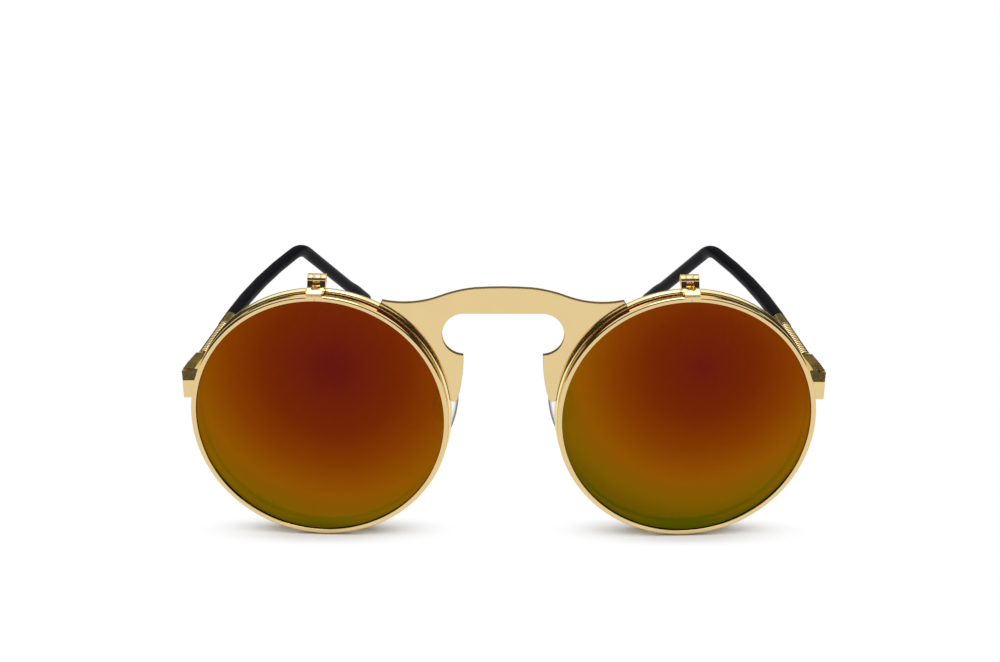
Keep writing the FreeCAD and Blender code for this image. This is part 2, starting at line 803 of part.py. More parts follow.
def least_gap(edges, wire_radius):
    """Least clear distance between turns, measured on points along the wire's centre line."""
    points = []
    for edge in edges:
        points += edge.discretize(Number=6)[:-1]
    apart = size(SPRING_MEAN) * math.pi
    travelled = [0.0]
    for near, far in zip(points, points[1:]):
        travelled.append(travelled[-1] + (far - near).Length)
    gaps = [(points[one] - points[two]).Length - 2 * wire_radius
            for one in range(len(points)) for two in range(one + 1, len(points))
            if travelled[two] - travelled[one] > apart]
    return min(gaps)


def temple_spring():
    """Open coil round the core wire, seated on the collar and the ferrule."""
    edges = spring_edges()
    wire_radius = size("spring_wire_radius")
    print("least gap between spring turns: %.3f mm" % least_gap(edges, wire_radius))
    start = edges[0].valueAt(edges[0].FirstParameter)
    section = Part.Wire([Part.Circle(start, Vector(0, 1, 0), wire_radius).toShape()])
    shell = Part.BRepOffsetAPI.MakePipeShell(Part.Wire(edges))
    shell.add(section)
    shell.build()
    shell.makeSolid()
    feature = doc.addObject("Part::Feature", "left_temple_spring")
    feature.Label = "left_temple_spring"
    feature.Shape = shell.shape()
    feature.Placement = shaft_frame()
    return feature


# Nose pad


def nose_pad():
    """Oval pad with a soft front edge, flat behind where the lug's plate seats."""
    body = new_body("left_nose_pad", pad_frame())
    side = PAD_SIDE_RADIUS
    bulge = "(%s - pad_width / 2) / (%s - pad_end_radius)" % (side, side)
    across = "pad_end_radius * " + bulge
    along = "%s * (pad_length / 2 - pad_end_radius) / (%s - pad_end_radius)" % (side, side)
    corners = [
        (across, "-" + along, side, LEFT_TURN),
        (across, along, "pad_end_radius", LEFT_TURN),
        ("-" + across, along, side, LEFT_TURN),
        ("-" + across, "-" + along, "pad_end_radius", LEFT_TURN),
    ]
    oval = outline(body, "YZ_Plane", corners, "-pad_face_depth")
    pad(body, oval, "pad_face_depth + pad_back_depth", "One side")
    round_edges(body, -size("pad_face_depth"), "pad_face_round")
    round_edges(body, size("pad_back_depth"), "pad_back_round")
    return body


def pad_lug():
    """Metal insert of the pad: a plate with a tab that turns on the pad screw."""
    body = new_body("left_pad_lug", pad_frame())
    low = ("-lug_plate_width / 2", "-lug_plate_length / 2")
    high = ("lug_plate_width / 2", "lug_plate_length / 2")
    plate = rectangle(body, "YZ_Plane", low, high, "pad_back_depth")
    pad(body, plate, "lug_plate_thickness", "One side")
    tab = rectangle(body, "XZ_Plane", ("pad_back_depth", "-lug_radius"), (LUG_AXIS, "lug_radius"))
    pad(body, tab, "lug_thickness")
    pad(body, circle(body, "XZ_Plane", (LUG_AXIS, "0"), "lug_radius"), "lug_thickness")
    pocket(body, circle(body, "XZ_Plane", (LUG_AXIS, "0"), "pad_screw_radius + pin_clearance"))
    return body


def pad_screw():
    """Small screw through the pad box and the lug."""
    body = new_body("left_pad_screw", pad_frame())
    shank = circle(body, "XZ_Plane", (LUG_AXIS, "0"), "pad_screw_radius")
    pad(body, shank, "2 * " + BOX_HALF_WIDTH)
    head = circle(body, "XZ_Plane", (LUG_AXIS, "0"), "pad_screw_head_radius", "-" + BOX_HALF_WIDTH)
    pad(body, head, "pad_screw_head", "One side", True)
    return body


def pad_arm():
    """Bent wire from the back of the rim to the box that holds the pad."""
    box = new_body("pad_box", pad_frame())
    low = (BOX_FRONT, "-box_height / 2")
    high = (BOX_BACK, "box_height / 2")
    pad(box, rectangle(box, "XZ_Plane", low, high), "2 * " + BOX_HALF_WIDTH)
    low = (BOX_FRONT + " - cut_overrun", "-" + BOX_HALF_SLOT)
    high = (BOX_SLOT_END, BOX_HALF_SLOT)
    pocket(box, rectangle(box, "XY_Plane", low, high))
    pocket(box, circle(box, "XZ_Plane", (LUG_AXIS, "0"), "pad_screw_radius"))
    eye = eye_frame()
    middle = size("rim_outer_radius - rim_wall / 2")
    across = -math.sqrt(middle ** 2 - size("arm_height") ** 2)
    root = Vector(across, size(RIM_BACK), size("arm_height"))
    back = Vector(0, size("arm_run"), 0)
    box_middle = size("(%s + %s) / 2" % (BOX_SLOT_END, BOX_BACK))
    foot = Vector(box_middle, 0, size("box_height / 2 - box_wall"))
    rise = Vector(0, 0, size("arm_rise"))
    frame = pad_frame()
    points = [eye * root, eye * (root + back), frame * (foot + rise), frame * foot]
    spine = path("arm_path", bent_edges(points, size("arm_bend_radius")), Placement())
    wire = tube("pad_wire", spine, "arm_radius")
    return combine("Part::Fuse", "left_pad_arm", wire, box)


# Assembly


def mirrored(piece, label):
    """Mirror image of a piece across the mid-plane."""
    feature = doc.addObject("Part::Mirroring", label)
    feature.Label = label
    feature.Source = piece
    feature.Normal = Vector(1, 0, 0)
    doc.recompute()
    return feature


def left_pieces(envelope):
    """Every piece on the wearer's left, by its plain name."""
    rim = ring("left_rim", "rim_outer_radius", RIM_INNER, RIM_FRONT, "rim_depth", "rim_edge_round",
               RIM_MIDDLE)
    flip_ring = ring("left_flip_ring", RING_OUTER, RING_INNER, "0", "ring_depth", "ring_edge_round",
                     RING_SEAT)
    return {
        "rim": rim,
        "clear_lens": lens("left_clear_lens", RIM_INNER, RIM_MIDDLE),
        "flip_ring": flip_ring,
        "mirror_lens": lens("left_mirror_lens", RING_INNER, RING_SEAT),
        "flip_post": flip_post(),
        "flip_bracket": flip_bracket(),
        "flip_pin": flip_pin(),
        "end_piece": end_piece(envelope),
        "hinge_screw": hinge_screw(),
        "temple_butt": temple_butt(),
        "temple_core": temple_core(),
        "temple_spring": temple_spring(),
        "ferrule": ferrule(),
        "sleeve": sleeve(),
        "nose_pad": nose_pad(),
        "pad_lug": pad_lug(),
        "pad_screw": pad_screw(),
        "pad_arm": pad_arm(),
    }


def check(nodes):
    """Stops on a failed feature, or on a piece that is not one valid solid."""
    for thing in doc.Objects:
        if "Invalid" in thing.State or "Error" in thing.State:
            raise RuntimeError("%s failed to build" % thing.Label)
    for name, piece in nodes.items():
        shape = piece.Shape
        if shape.isNull() or not shape.isValid() or len(shape.Solids) != 1:
            raise RuntimeError("%s is not one valid solid" % name)


def main():
    """Builds every piece and writes one file for each."""
    left_envelope = rim_envelope()
    right_envelope = mirrored(left_envelope, "right_rim_envelope")
    nodes = {"bridge_plate": bridge_plate(left_envelope, right_envelope)}
    for name, piece in left_pieces(left_envelope).items():
        nodes["left_" + name] = piece
        nodes["right_" + name] = mirrored(piece, "right_" + name)
    check(nodes)
    os.makedirs("parts", exist_ok=True)
    for name, piece in nodes.items():
        piece.Shape.exportStep("parts/%s.step" % name)


main()
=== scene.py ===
import json
from math import asin, ceil, cos, inf, pi, radians, sin, sqrt, tan

import bmesh
import bpy
from bpy.props import FloatProperty, FloatVectorProperty, IntProperty, PointerProperty
from mathutils import Matrix, Vector

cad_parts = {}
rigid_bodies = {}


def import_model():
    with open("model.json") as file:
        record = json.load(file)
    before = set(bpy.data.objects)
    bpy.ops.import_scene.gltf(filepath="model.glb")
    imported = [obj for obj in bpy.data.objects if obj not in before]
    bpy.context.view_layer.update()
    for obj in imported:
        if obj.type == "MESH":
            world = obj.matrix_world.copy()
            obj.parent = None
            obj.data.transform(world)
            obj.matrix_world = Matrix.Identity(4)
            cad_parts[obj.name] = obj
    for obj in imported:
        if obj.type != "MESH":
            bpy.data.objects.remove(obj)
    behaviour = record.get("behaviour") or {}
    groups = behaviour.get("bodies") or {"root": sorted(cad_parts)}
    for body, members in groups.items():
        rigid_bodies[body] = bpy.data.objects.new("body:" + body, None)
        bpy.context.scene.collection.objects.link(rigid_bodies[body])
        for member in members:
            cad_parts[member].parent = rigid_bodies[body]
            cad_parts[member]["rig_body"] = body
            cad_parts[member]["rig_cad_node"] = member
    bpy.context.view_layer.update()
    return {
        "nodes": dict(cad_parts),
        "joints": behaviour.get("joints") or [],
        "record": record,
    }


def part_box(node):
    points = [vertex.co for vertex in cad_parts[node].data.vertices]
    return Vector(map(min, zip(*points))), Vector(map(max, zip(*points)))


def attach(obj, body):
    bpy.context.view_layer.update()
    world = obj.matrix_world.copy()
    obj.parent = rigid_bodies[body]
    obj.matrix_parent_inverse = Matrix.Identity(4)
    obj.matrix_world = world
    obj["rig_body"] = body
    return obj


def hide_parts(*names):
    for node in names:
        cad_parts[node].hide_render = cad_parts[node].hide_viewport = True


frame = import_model()

bl_info = {
    "name": "Flip-up sunglasses",
    "version": (1, 0, 0),
    "blender": (4, 5, 0),
    "location": "View3D > Sidebar > Eyewear",
    "description": "Dresses a pair of round flip-up sunglasses on their packed frame",
    "category": "Add Mesh",
}

MM = 0.001
WELD = 1e-6
QUARTER = pi / 2
FULL_TURN = 2 * pi
LEFT_TURN = 1
RIGHT_TURN = -1
SIDES = ("left", "right")
ACROSS, BACK, UP = Vector((1, 0, 0)), Vector((0, 1, 0)), Vector((0, 0, 1))
MIDDLE = (0, 0, 0)
LAID_BACK = Matrix.Rotation(-QUARTER, 4, "X")
WHITE = (1, 1, 1, 1)
JOINTS = {joint["name"]: joint for joint in frame["joints"]}

# Fineness of the meshes

ARC_STEP = radians(3)
RING_STEP = radians(2)
FERRULE_STEP = radians(7.5)
FLAT_ANGLE = radians(1)
SHARP_ANGLE = radians(35)
SMOOTH_ANGLE = radians(40)
BEVEL_SEGMENTS = 3
WIRE_SIDES = 14
COIL_STEPS = 36
SLEEVE_SIDES = 36
FLARE_STEPS = 12
TIP_STEPS = 9
PAD_SEGMENTS = 48
PAD_RINGS = 29


# Settings


def mm(words, millimetres):
    """Length that a user may change."""
    return FloatProperty(description=words, default=millimetres * MM, unit="LENGTH", precision=5)


def angle(words, degrees):
    """Angle that a user may change."""
    return FloatProperty(description=words, default=radians(degrees), subtype="ANGLE")


def level(words, number):
    """Plain number that a user may change."""
    return FloatProperty(description=words, default=number)


def colour(words, red, green, blue):
    """Colour that a user may change."""
    return FloatVectorProperty(description=words, default=(red, green, blue, 1), size=4,
                               subtype="COLOR", min=0, max=1)


GROUPS = {}


def listed(group):
    """Lists a group of settings and names each of them."""
    GROUPS["eyewear_" + group.__name__.rpartition("_")[2]] = group
    for name, setting in group.__annotations__.items():
        setting.keywords["name"] = name.replace("_", " ").capitalize()
    return group


@listed
class EYEWEAR_PG_eye(bpy.types.PropertyGroup):
    """Sizes of the rims, the flip rings and their lenses."""

    rim_radius: mm("Outside of the fixed rim", 27.3)
    rim_wall: mm("Rim from outside to inside", 1.4)
    rim_depth: mm("Rim from front to back", 1.7)
    rim_round: mm("Rim's outer edges", 0.8)
    ring_step: mm("Rim's radius less the flip ring's", 0.2)
    ring_wall: mm("Flip ring from outside to inside", 1.1)
    ring_depth: mm("Flip ring from front to back", 1.8)
    ring_round: mm("Flip ring's outer edges", 0.5)
    inner_round: mm("Inner edges of rims and rings", 0.1)
    flip_gap: mm("Flip ring to rim", 2.0)
    seam_width: mm("Gap where each eyewire closes", 0.06)
    lens_thickness: mm("Both lenses", 1.5)
    lens_curve: mm("Radius of the lens faces", 330)
    seat_depth: mm("Groove that holds the lens", 0.45)
    seat_half_width: mm("Half the width of that groove", 0.45)
    seat_clearance: mm("Play of a lens in its groove", 0.05)
    seat_shoulder: mm("Flip ring's wall behind the groove", 0.2)

    @property
    def rim_front(self):
        """Front of the rim, behind the flip ring's front."""
        return self.ring_depth + self.flip_gap

    @property
    def rim_middle(self):
        """Middle of the rim's depth, where the flip hinge stands."""
        return self.rim_front + self.rim_depth / 2

    @property
    def ring_radius(self):
        """Outside of the flip ring."""
        return self.rim_radius - self.ring_step

    @property
    def ring_seat(self):
        """Depth of the flip ring's groove."""
        return self.ring_depth - self.seat_shoulder - self.seat_half_width


@listed
class EYEWEAR_PG_bridge(bpy.types.PropertyGroup):
    """Sizes of the bridge plate."""

    lead: mm("Plate's front ahead of the rims", 1.05)
    thickness: mm("Sheet of the plate", 1.2)
    edge_round: mm("Polished edges of the sheet", 0.08)
    # Edges steeper than this from the sheet's face get duller, and darker with painted shade
    cut_angle: angle("From the sheet's face to its dull edge", 40)
    crest_reach: mm("Half the width of the crest", 5.8)
    crest_height: mm("Crest's ends above the lens centres", 27.8)
    crest_radius: mm("Curve of the crest", 84)
    shoulder_reach: mm("Shoulder from the mid-plane", 12.8)
    shoulder_height: mm("Shoulder above the lens centres", 26.1)
    shoulder_radius: mm("Curve from crest to shoulder", 27.5)
    hollow_radius: mm("Curve from shoulder to horn", 20.5)
    horn_angle: angle("Horn round the rim, from the level", 61.7)
    horn_rise: mm("Horn's end outside the rim", 1.25)
    window_height: mm("Middle of the window's ends", 17.8)
    window_radius: mm("Round ends of the window", 4.6)
    lip_angle: angle("Window's lip past its lowest point", 3)
    leg_width: mm("Leg beside the rim", 1.5)
    leg_height: mm("End of the leg above the lens centres", 3.6)
    leg_flare: mm("Leg's inner edge beyond the window's middle", 1.45)
    leg_curve: mm("Curve of the leg's inner edge", 34)


@listed
class EYEWEAR_PG_hinge(bpy.types.PropertyGroup):
    """Sizes of the flip hinges."""

    barrel_radius: mm("Knuckles of the flip hinge", 1.15)
    barrel_lift: mm("Rim to barrel", 0.75)
    centre_knuckle: mm("Width of the knuckle on the post", 1.5)
    outer_knuckle: mm("Width of each knuckle on the bracket", 1.05)
    knuckle_gap: mm("Play between knuckles", 0.05)
    pin_radius: mm("Pin through the knuckles", 0.4)
    pin_proud: mm("Rounded pin end beyond its knuckle", 0.08)
    post_thickness: mm("Post on the rim", 1.2)
    bracket_width: mm("Upright plate of the bracket", 3.0)
    bracket_rise: mm("Bracket above the flip ring", 0.9)
    bracket_thickness: mm("Upright plate of the bracket", 0.8)
    leaf_thickness: mm("Level leaf of the bracket", 0.75)
    leaf_reach: mm("Level leaf, back from the ring's front", 3.0)
    slope_foot: mm("Bracket's slope above the flip ring", 0.4)
    slope_run: mm("Bracket's slope, back from the ring's front", 1.2)
    slope_angle: angle("Bracket's slope from the level", 38)
    flare_width: mm("Solder beside the bracket's foot", 0.4)
    flare_height: mm("Solder up the bracket's sides", 0.6)
    edge_round: mm("Polished edges of the hinge", 0.04)

    @property
    def fork_width(self):
        """Barrel from end to end."""
        return self.centre_knuckle + 2 * (self.knuckle_gap + self.outer_knuckle)


@listed
class EYEWEAR_PG_temple(bpy.types.PropertyGroup):
    """Sizes of the temples."""

    temple_angle: angle("How far the temples close in", 4.7)
    butt_length: mm("Hinge to spring", 12.1)
    butt_thickness: mm("Bar behind the hinge", 2.4)
    core_radius: mm("Wire through the temple", 0.8)
    core_clearance: mm("Play round that wire", 0.1)
    wire_radius: mm("Wire of the spring", 0.25)
    wire_extra: mm("Added, so that its turns nearly close", 0.06)
    pitch: mm("Spring from turn to turn", 0.95)
    turns: IntProperty(description="Turns of the spring", default=17)
    lead: mm("Spring's lead at each end", 0.6)
    ferrule_length: mm("Tube between spring and sleeve", 6.15)
    nose_margin: mm("Ferrule's nose beyond the spring", 0.1)
    nose_length: mm("Taper of the ferrule's nose", 0.6)
    ferrule_round: mm("Groove where ferrule and sleeve meet", 0.15)
    sleeve_radius: mm("Black sleeve", 1.6)
    sleeve_straight: mm("Sleeve ahead of the bow", 1.9)
    bow_length: mm("Gentle curve inwards", 47)
    bow_angle: angle("Turn of that curve", 11.4)
    bend_radius: mm("Bend over the ear", 16)
    dip_angle: angle("Slope behind the ear", 34.2)
    tip_radius: mm("Swollen end of the sleeve", 1.95)
    tip_length: mm("Swollen end of the sleeve", 8)
    flare_length: mm("Sleeve to swollen end", 8)
    temple_height: mm("Hinge above the lens centres", 4.5)

    @property
    def coil_radius(self):
        """Middle of the spring's wire from its axis."""
        return self.core_radius + self.core_clearance + self.wire_radius

    @property
    def spring_end(self):
        """End of the spring along the temple."""
        return self.butt_length + self.turns * self.pitch + 4 * self.wire_radius + 2 * self.lead

    @property
    def sleeve_start(self):
        """Start of the sleeve along the temple."""
        return self.spring_end + self.ferrule_length


@listed
class EYEWEAR_PG_pad(bpy.types.PropertyGroup):
    """Sizes of the nose pads."""

    tilt: angle("Lean of the pad", 18)
    length: mm("Pad from top to bottom", 13.4)
    width: mm("Pad from front to back", 7.2)
    face_depth: mm("Crown of the pad towards the nose", 1.5)
    back_depth: mm("Flat of the pad towards the lens", 0.8)
    back_round: mm("Edge of the flat", 0.35)
    axis_reach: mm("Pad's screw from its middle", 2.3)


@listed
class EYEWEAR_PG_finish(bpy.types.PropertyGroup):
    """Colours of the pieces."""

    gold: colour("Polished pale gold plating", 0.80, 0.605, 0.30)
    # Paler gold painted as light on the faces in the gap between flip ring and rim
    gap_gold: colour("Gold in the gap between flip ring and rim", 0.93, 0.80, 0.44)
    old_gold: colour("Darker gold of the ferrules", 0.45, 0.35, 0.18)
    steel: colour("Screws, core wires and pad inserts", 0.30, 0.275, 0.22)
    # Coating stops: their hue is the coating's, their darker heart and brighter sides are painted
    # reflection
    lens_heart: colour("Coating high in the mirror lens", 0.150, 0.010, 0.009)
    lens_inner: colour("Coating round the heart", 0.248, 0.035, 0.001)
    lens_middle: colour("Coating halfway out", 0.352, 0.082, 0.0)
    lens_side: colour("Coating towards the sides", 0.440, 0.168, 0.0)
    lens_low: colour("Coating towards the bottom", 0.320, 0.195, 0.0)
    lens_foot: colour("Coating at the bottom", 0.148, 0.155, 0.0)
    lens_tint: colour("Light through a face of the mirror lens", 0.387, 0.105, 0.045)
    lens_through: level("Share of light that the coating lets through", 0.5)
    clear_lens: colour("Body of the clear lens", 0.90, 0.93, 0.92)
    sleeve: colour("Black plastic of the sleeves", 0.005, 0.005, 0.007)
    silicone: colour("Clear soft nose pads", 0.985, 0.99, 0.99)
    # Grey painted shade where the pads' edges are looked into
    silicone_edge: colour("Grey at the edge of the clear pads", 0.20, 0.20, 0.23)


@listed
class EYEWEAR_PG_stage(bpy.types.PropertyGroup):
    """Camera, lamps and floor."""

    camera_across: mm("Camera from the mid-plane", 2.0)
    camera_depth: mm("Camera's place along the temples", -371.44)
    camera_height: mm("Camera above the floor", 163.43)
    camera_pitch: angle("Camera's look down", 21.21)
    camera_yaw: angle("Camera's look to its right", -0.5)
    camera_roll: angle("Camera's lean", 0.04)
    focal_length: level("Camera's lens, in millimetres", 56.87)
    floor_size: mm("Side of the floor", 6000)
    shadow_width: mm("Half the width of a rim's shadow", 30)
    shadow_depth: mm("Half the depth of a rim's shadow", 7.5)
    sky_level: level("Light from above", 1.04)
    strip_level: level("Light of the low strip behind", 1.44)
    room_level: level("Light all round", 0.04)
    lamp_size: mm("Side of the softbox overhead", 400)
    lamp_depth: mm("Softbox's place along the temples", -285)
    lamp_height: mm("Softbox above the floor", 800)
    lamp_power: FloatProperty(description="Power of the softbox", default=1.5, unit="POWER")


def chosen(*names):
    """Groups of settings, as the scene has them."""
    return [getattr(bpy.context.scene, "eyewear_" + name) for name in names]


# Materials


def sums(operation):
    """Methods for an operation with the wire first, and with it second."""
    return (lambda wire, other: wire.sum(operation, wire, other),
            lambda wire, other: wire.sum(operation, other, wire))


class Wire:
    """Output of a node, on which sums are written as Python."""

    __add__, __radd__ = sums("ADD")
    __sub__, __rsub__ = sums("SUBTRACT")
    __mul__, __rmul__ = sums("MULTIPLY")
    __truediv__, __rtruediv__ = sums("DIVIDE")
    __pow__, __rpow__ = sums("POWER")

    def __init__(self, graph, socket):
        self.graph = graph
        self.socket = socket

    def sum(self, operation, *values):
        """Math node on these values."""
        return self.graph.node("Math", {"operation": operation}, dict(enumerate(values)))

    def __abs__(self):
        return self.sum("ABSOLUTE", self)

    def sign(self):
        """-1 or 1, as the value is below or above 0."""
        return self.sum("SIGN", self)


class Graph:
    """Nodes of one material or of the world."""

    def __init__(self, owner):
        owner.use_nodes = True
        self.owner = owner
        self.tree = owner.node_tree
        self.tree.nodes.clear()

    def node(self, kind, settings=None, sockets=None, out=0):
        """New node with its settings, then its sockets' values or links."""
        made = self.tree.nodes.new("ShaderNode" + kind)
        for key, value in (settings or {}).items():
            if key == "stops":
                self.stops(made.color_ramp, value)
            else:
                setattr(made, key, value)
        for key, value in (sockets or {}).items():
            if isinstance(value, Wire):
                self.tree.links.new(value.socket, made.inputs[key])
            else:
                made.inputs[key].default_value = value
        return Wire(self, made.outputs[out]) if made.outputs else made

    def stops(self, ramp, stops):
        """Places and colours of a ramp."""
        while len(ramp.elements) < len(stops):
            ramp.elements.new(1)
        for element, (place, shade) in zip(ramp.elements, stops):
            element.position = place
            element.color = shade

    def spot(self):
        """Object coordinates."""
        return self.node("TexCoord", out="Object")

    def axis(self, spot, name):
        """One of a vector's three numbers."""
        return self.node("SeparateXYZ", sockets={"Vector": spot}, out=name)

    def noise(self, spot, scale, detail=2.0):
        """Noise from 0 to 1 at a scale per metre."""
        return self.node("TexNoise", sockets={"Vector": spot, "Scale": scale, "Detail": detail})

    def mark(self, name):
        """Number that a mesh carries."""
        return self.node("Attribute", {"attribute_name": name}, out="Fac")

    def mix(self, share, first, second):
        """Colour between two others."""
        return self.node("Mix", {"data_type": "RGBA"}, {0: share, 6: first, 7: second}, out=2)

    def blend(self, share, first, second):
        """Shader between two others."""
        return self.node("MixShader", sockets={0: share, 1: first, 2: second})

    def through(self, tint):
        """Shader that lets light through."""
        return self.node("BsdfTransparent", sockets={"Color": tuple(tint)})

    def glint(self):
        """Share of light that a clear face reflects, the same from inside and outside."""
        facing = self.node("LayerWeight", sockets={"Blend": 0.5}, out="Facing")
        return facing ** 5.0 * (1 - HEAD_ON_GLINT) + HEAD_ON_GLINT

    def ease(self, value, low, high):
        """Smooth rise from 0 at a low value to 1 at a high one."""
        return self.node("MapRange", {"interpolation_type": "SMOOTHSTEP"},
                         {"Value": value, "From Min": low, "From Max": high})

    def bump(self, height, strength, distance):
        """Normal from a height."""
        return self.node("Bump", sockets={
            "Height": height, "Strength": strength, "Distance": distance})

    def surface(self, shader):
        """Ends the material in a shader and gives it back."""
        self.node("OutputMaterial", sockets={"Surface": shader})
        return self.owner


# Noise scales, per metre
HAZE, HAIRLINES, BLOTCHES, SMEARS = 160, 900, 45, 60
PLASTIC_GRAIN, PLASTIC_CLOUDS, SOFT_GRAIN, SOFT_CLOUDS = 2600, 120, 1800, 350
HAIRLINE_STRETCH = (1, 6, 1)
# Heights that bumps stand for
HAIRLINE_HEIGHT, GRAIN_HEIGHT = 0.00002, 0.00003
# Name and least roughness of each plating
PLATINGS = {
    "gold": ("polished_gold", 0.05),
    "old_gold": ("satin_gold", 0.22),
    "steel": ("drawn_steel", 0.2),
}
# The cut edges' share of the tone is painted shade
HAZE_SHADE, PAINTED_EDGE_SHADE, RIM_SHADE = 0.94, 0.3, 1.1
# Mirror coating from its heart outwards, in shares of a span of lens radii; its darkness at the
# heart and brightness towards the sides are painted reflection
LENS_STOPS = {"lens_heart": 0.0, "lens_inner": 0.33, "lens_middle": 0.52,
              "lens_side": 0.70, "lens_low": 0.83, "lens_foot": 0.95}
# Span of the ramp, and the heart's shift aside, rise and lean; the heart holds the darkest painted
# reflection
LENS_SPAN, HEART_ASIDE, HEART_RISE, HEART_LEAN = 1.5, 0.12, 0.45, 0.07
HEAD_ON_GLINT = 0.04
# Facing over which the pads' grey painted edge shade comes in; then its least share and gain, and
# the silicone's IOR
SOFT_PAINTED_EDGE = (0.4, 0.62)
SOFT_LEAST, SOFT_GAIN, SOFT_IOR = 0.02, 0.9, 1.41


def shade(value, share):
    """Colour at a share of its brightness."""
    return tuple(part * share for part in value[:3]) + (1,)


def plating(name, tone, gap_painted_light_tone, roughness):
    """Plated metal with a faint polish haze and hairlines, duller where a sheet was cut and
    darkened there with painted shade, and with painted light, a paler gold, on the faces in the gap
    between flip ring and rim.
    """
    graph = Graph(bpy.data.materials.new(name))
    spot = graph.spot()
    haze = graph.noise(spot, HAZE)
    stretched = graph.node("Mapping", sockets={"Vector": spot, "Scale": HAIRLINE_STRETCH})
    marks = graph.noise(stretched, HAIRLINES, 4.0)
    # Cut edges: duller, and darkened with painted shade
    cut = graph.mark("cut")
    # Faces marked gap get the paler gap tone: painted light in the gap between flip ring and rim
    polish = graph.mix(graph.mark("gap"), graph.mix(haze, shade(tone, HAZE_SHADE), tone), gap_painted_light_tone)
    return graph.surface(graph.node("BsdfPrincipled", sockets={
        "Base Color": graph.mix(cut, polish, shade(tone, PAINTED_EDGE_SHADE)),
        "Metallic": 1.0,
        "Roughness": roughness + haze * 0.05 + marks * 0.04 + cut * 0.2,
        "Specular Tint": shade(tone, RIM_SHADE),
        "Normal": graph.bump(marks, 0.05, HAIRLINE_HEIGHT),
    }))


def mirror_coating(colours):
    """Mirror lens: coating that shifts from red to olive, darker at the heart and brighter towards
    the sides with painted reflection, with a little light through it.
    """
    graph = Graph(bpy.data.materials.new("mirror_coating"))
    spot = graph.spot()
    low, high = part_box("left_mirror_lens")
    middle = (low + high) / 2
    reach = (high.z - low.z) / 2
    aside = graph.axis(spot, "X")
    across = (abs(aside) - middle.x) / reach - aside.sign() * HEART_ASIDE
    rise = (graph.axis(spot, "Z") - middle.z) / reach - HEART_RISE
    blotch = graph.noise(spot, BLOTCHES)
    lean = aside.sign() * HEART_LEAN
    spread = (across * across + rise * rise) ** 0.5 + lean + blotch * 0.1 - 0.05
    # The ramp paints reflection: dark at the heart, brighter towards the sides
    stops = [(place, tuple(getattr(colours, name))) for name, place in LENS_STOPS.items()]
    mirror = graph.node("BsdfPrincipled", sockets={
        "Base Color": graph.node("ValToRGB", {"stops": stops}, {"Fac": spread / LENS_SPAN}),
        "Metallic": 1.0,
        "Roughness": 0.03 + blotch * 0.02,
    })
    coat = graph.mark("coat")
    share = coat * (1 - colours.lens_through) + (1 - coat) * graph.glint()
    return graph.surface(graph.blend(share, graph.through(colours.lens_tint), mirror))


def clear_glass(colours):
    """Clear lens: a faint body under its own reflections."""
    graph = Graph(bpy.data.materials.new("clear_glass"))
    smear = graph.noise(graph.spot(), SMEARS)
    body = tuple(colours.clear_lens)
    gloss = graph.node("BsdfPrincipled", sockets={
        "Base Color": graph.mix(smear, body, shade(body, 0.95)),
        "Roughness": 0.01 + smear * 0.02,
    })
    return graph.surface(graph.blend(graph.glint(), graph.through(body), gloss))


def satin_plastic(colours):
    """Black sleeve plastic with a fine moulded grain."""
    graph = Graph(bpy.data.materials.new("satin_plastic"))
    spot = graph.spot()
    grain = graph.noise(spot, PLASTIC_GRAIN, 3.0)
    cloud = graph.noise(spot, PLASTIC_CLOUDS)
    return graph.surface(graph.node("BsdfPrincipled", sockets={
        "Base Color": graph.mix(cloud, tuple(colours.sleeve), shade(colours.sleeve, 1.8)),
        "Roughness": 0.26 + grain * 0.1 + cloud * 0.05,
        "Specular IOR Level": 0.015,
        "Normal": graph.bump(grain, 0.12, GRAIN_HEIGHT),
    }))


def soft_silicone(colours):
    """Clear soft silicone of the nose pads, grey with painted shade where the edge is looked into.
    """
    graph = Graph(bpy.data.materials.new("soft_silicone"))
    spot = graph.spot()
    cloud = graph.noise(spot, SOFT_CLOUDS)
    facing = graph.node("LayerWeight", sockets={"Blend": 0.4}, out="Facing")
    grey = tuple(colours.silicone_edge)
    silicone = graph.node("BsdfPrincipled", sockets={
        "Base Color": graph.mix(cloud, grey, shade(grey, 1.4)),
        "Roughness": 0.14 + cloud * 0.12,
        "IOR": SOFT_IOR,
        "Normal": graph.bump(graph.noise(spot, SOFT_GRAIN), 0.05, GRAIN_HEIGHT),
    })
    # Share of the grey painted shade, rising towards the edges
    share = graph.ease(facing, *SOFT_PAINTED_EDGE) * SOFT_GAIN + SOFT_LEAST
    return graph.surface(graph.blend(share, graph.through(colours.silicone), silicone))


# One material for each of the record's slots
FINISHES = {}


# Places


def eye_place():
    """Left lens centre on the flip ring's front, worked out from the flip hinge."""
    eye, hinge = chosen("eye", "hinge")
    joint = JOINTS["left_flip_hinge"]
    across = -Vector(joint["axis"]).normalized()
    back = UP.cross(across)
    turn = Matrix((across, back, UP)).transposed().to_4x4()
    barrel = eye.rim_radius + hinge.barrel_lift + hinge.barrel_radius
    centre = Vector(joint["pos_m"]) - back * eye.rim_middle - UP * barrel
    return Matrix.Translation(centre) @ turn


def shaft_place():
    """Centre line of the left temple beside its hinge, with +Y along it."""
    temple = bpy.context.scene.eyewear_temple
    hinge = Matrix.Translation(Vector(JOINTS["left_temple_hinge"]["pos_m"]))
    turn = Matrix.Rotation(temple.temple_angle, 4, "Z")
    return hinge @ turn @ Matrix.Translation(ACROSS * (temple.butt_thickness / 2))


def pad_place(pad):
    """Middle of the left nose pad, with +X to the lens and +Z up the pad."""
    joint = JOINTS["left_pad_rock"]
    back = Vector(joint["axis"]).normalized()
    level_across = back.cross(UP)
    across = Matrix.Rotation(-pad.tilt, 3, back) @ level_across
    turn = Matrix((across, back, across.cross(back))).transposed().to_4x4()
    return Matrix.Translation(Vector(joint["pos_m"]) - across * pad.axis_reach) @ turn


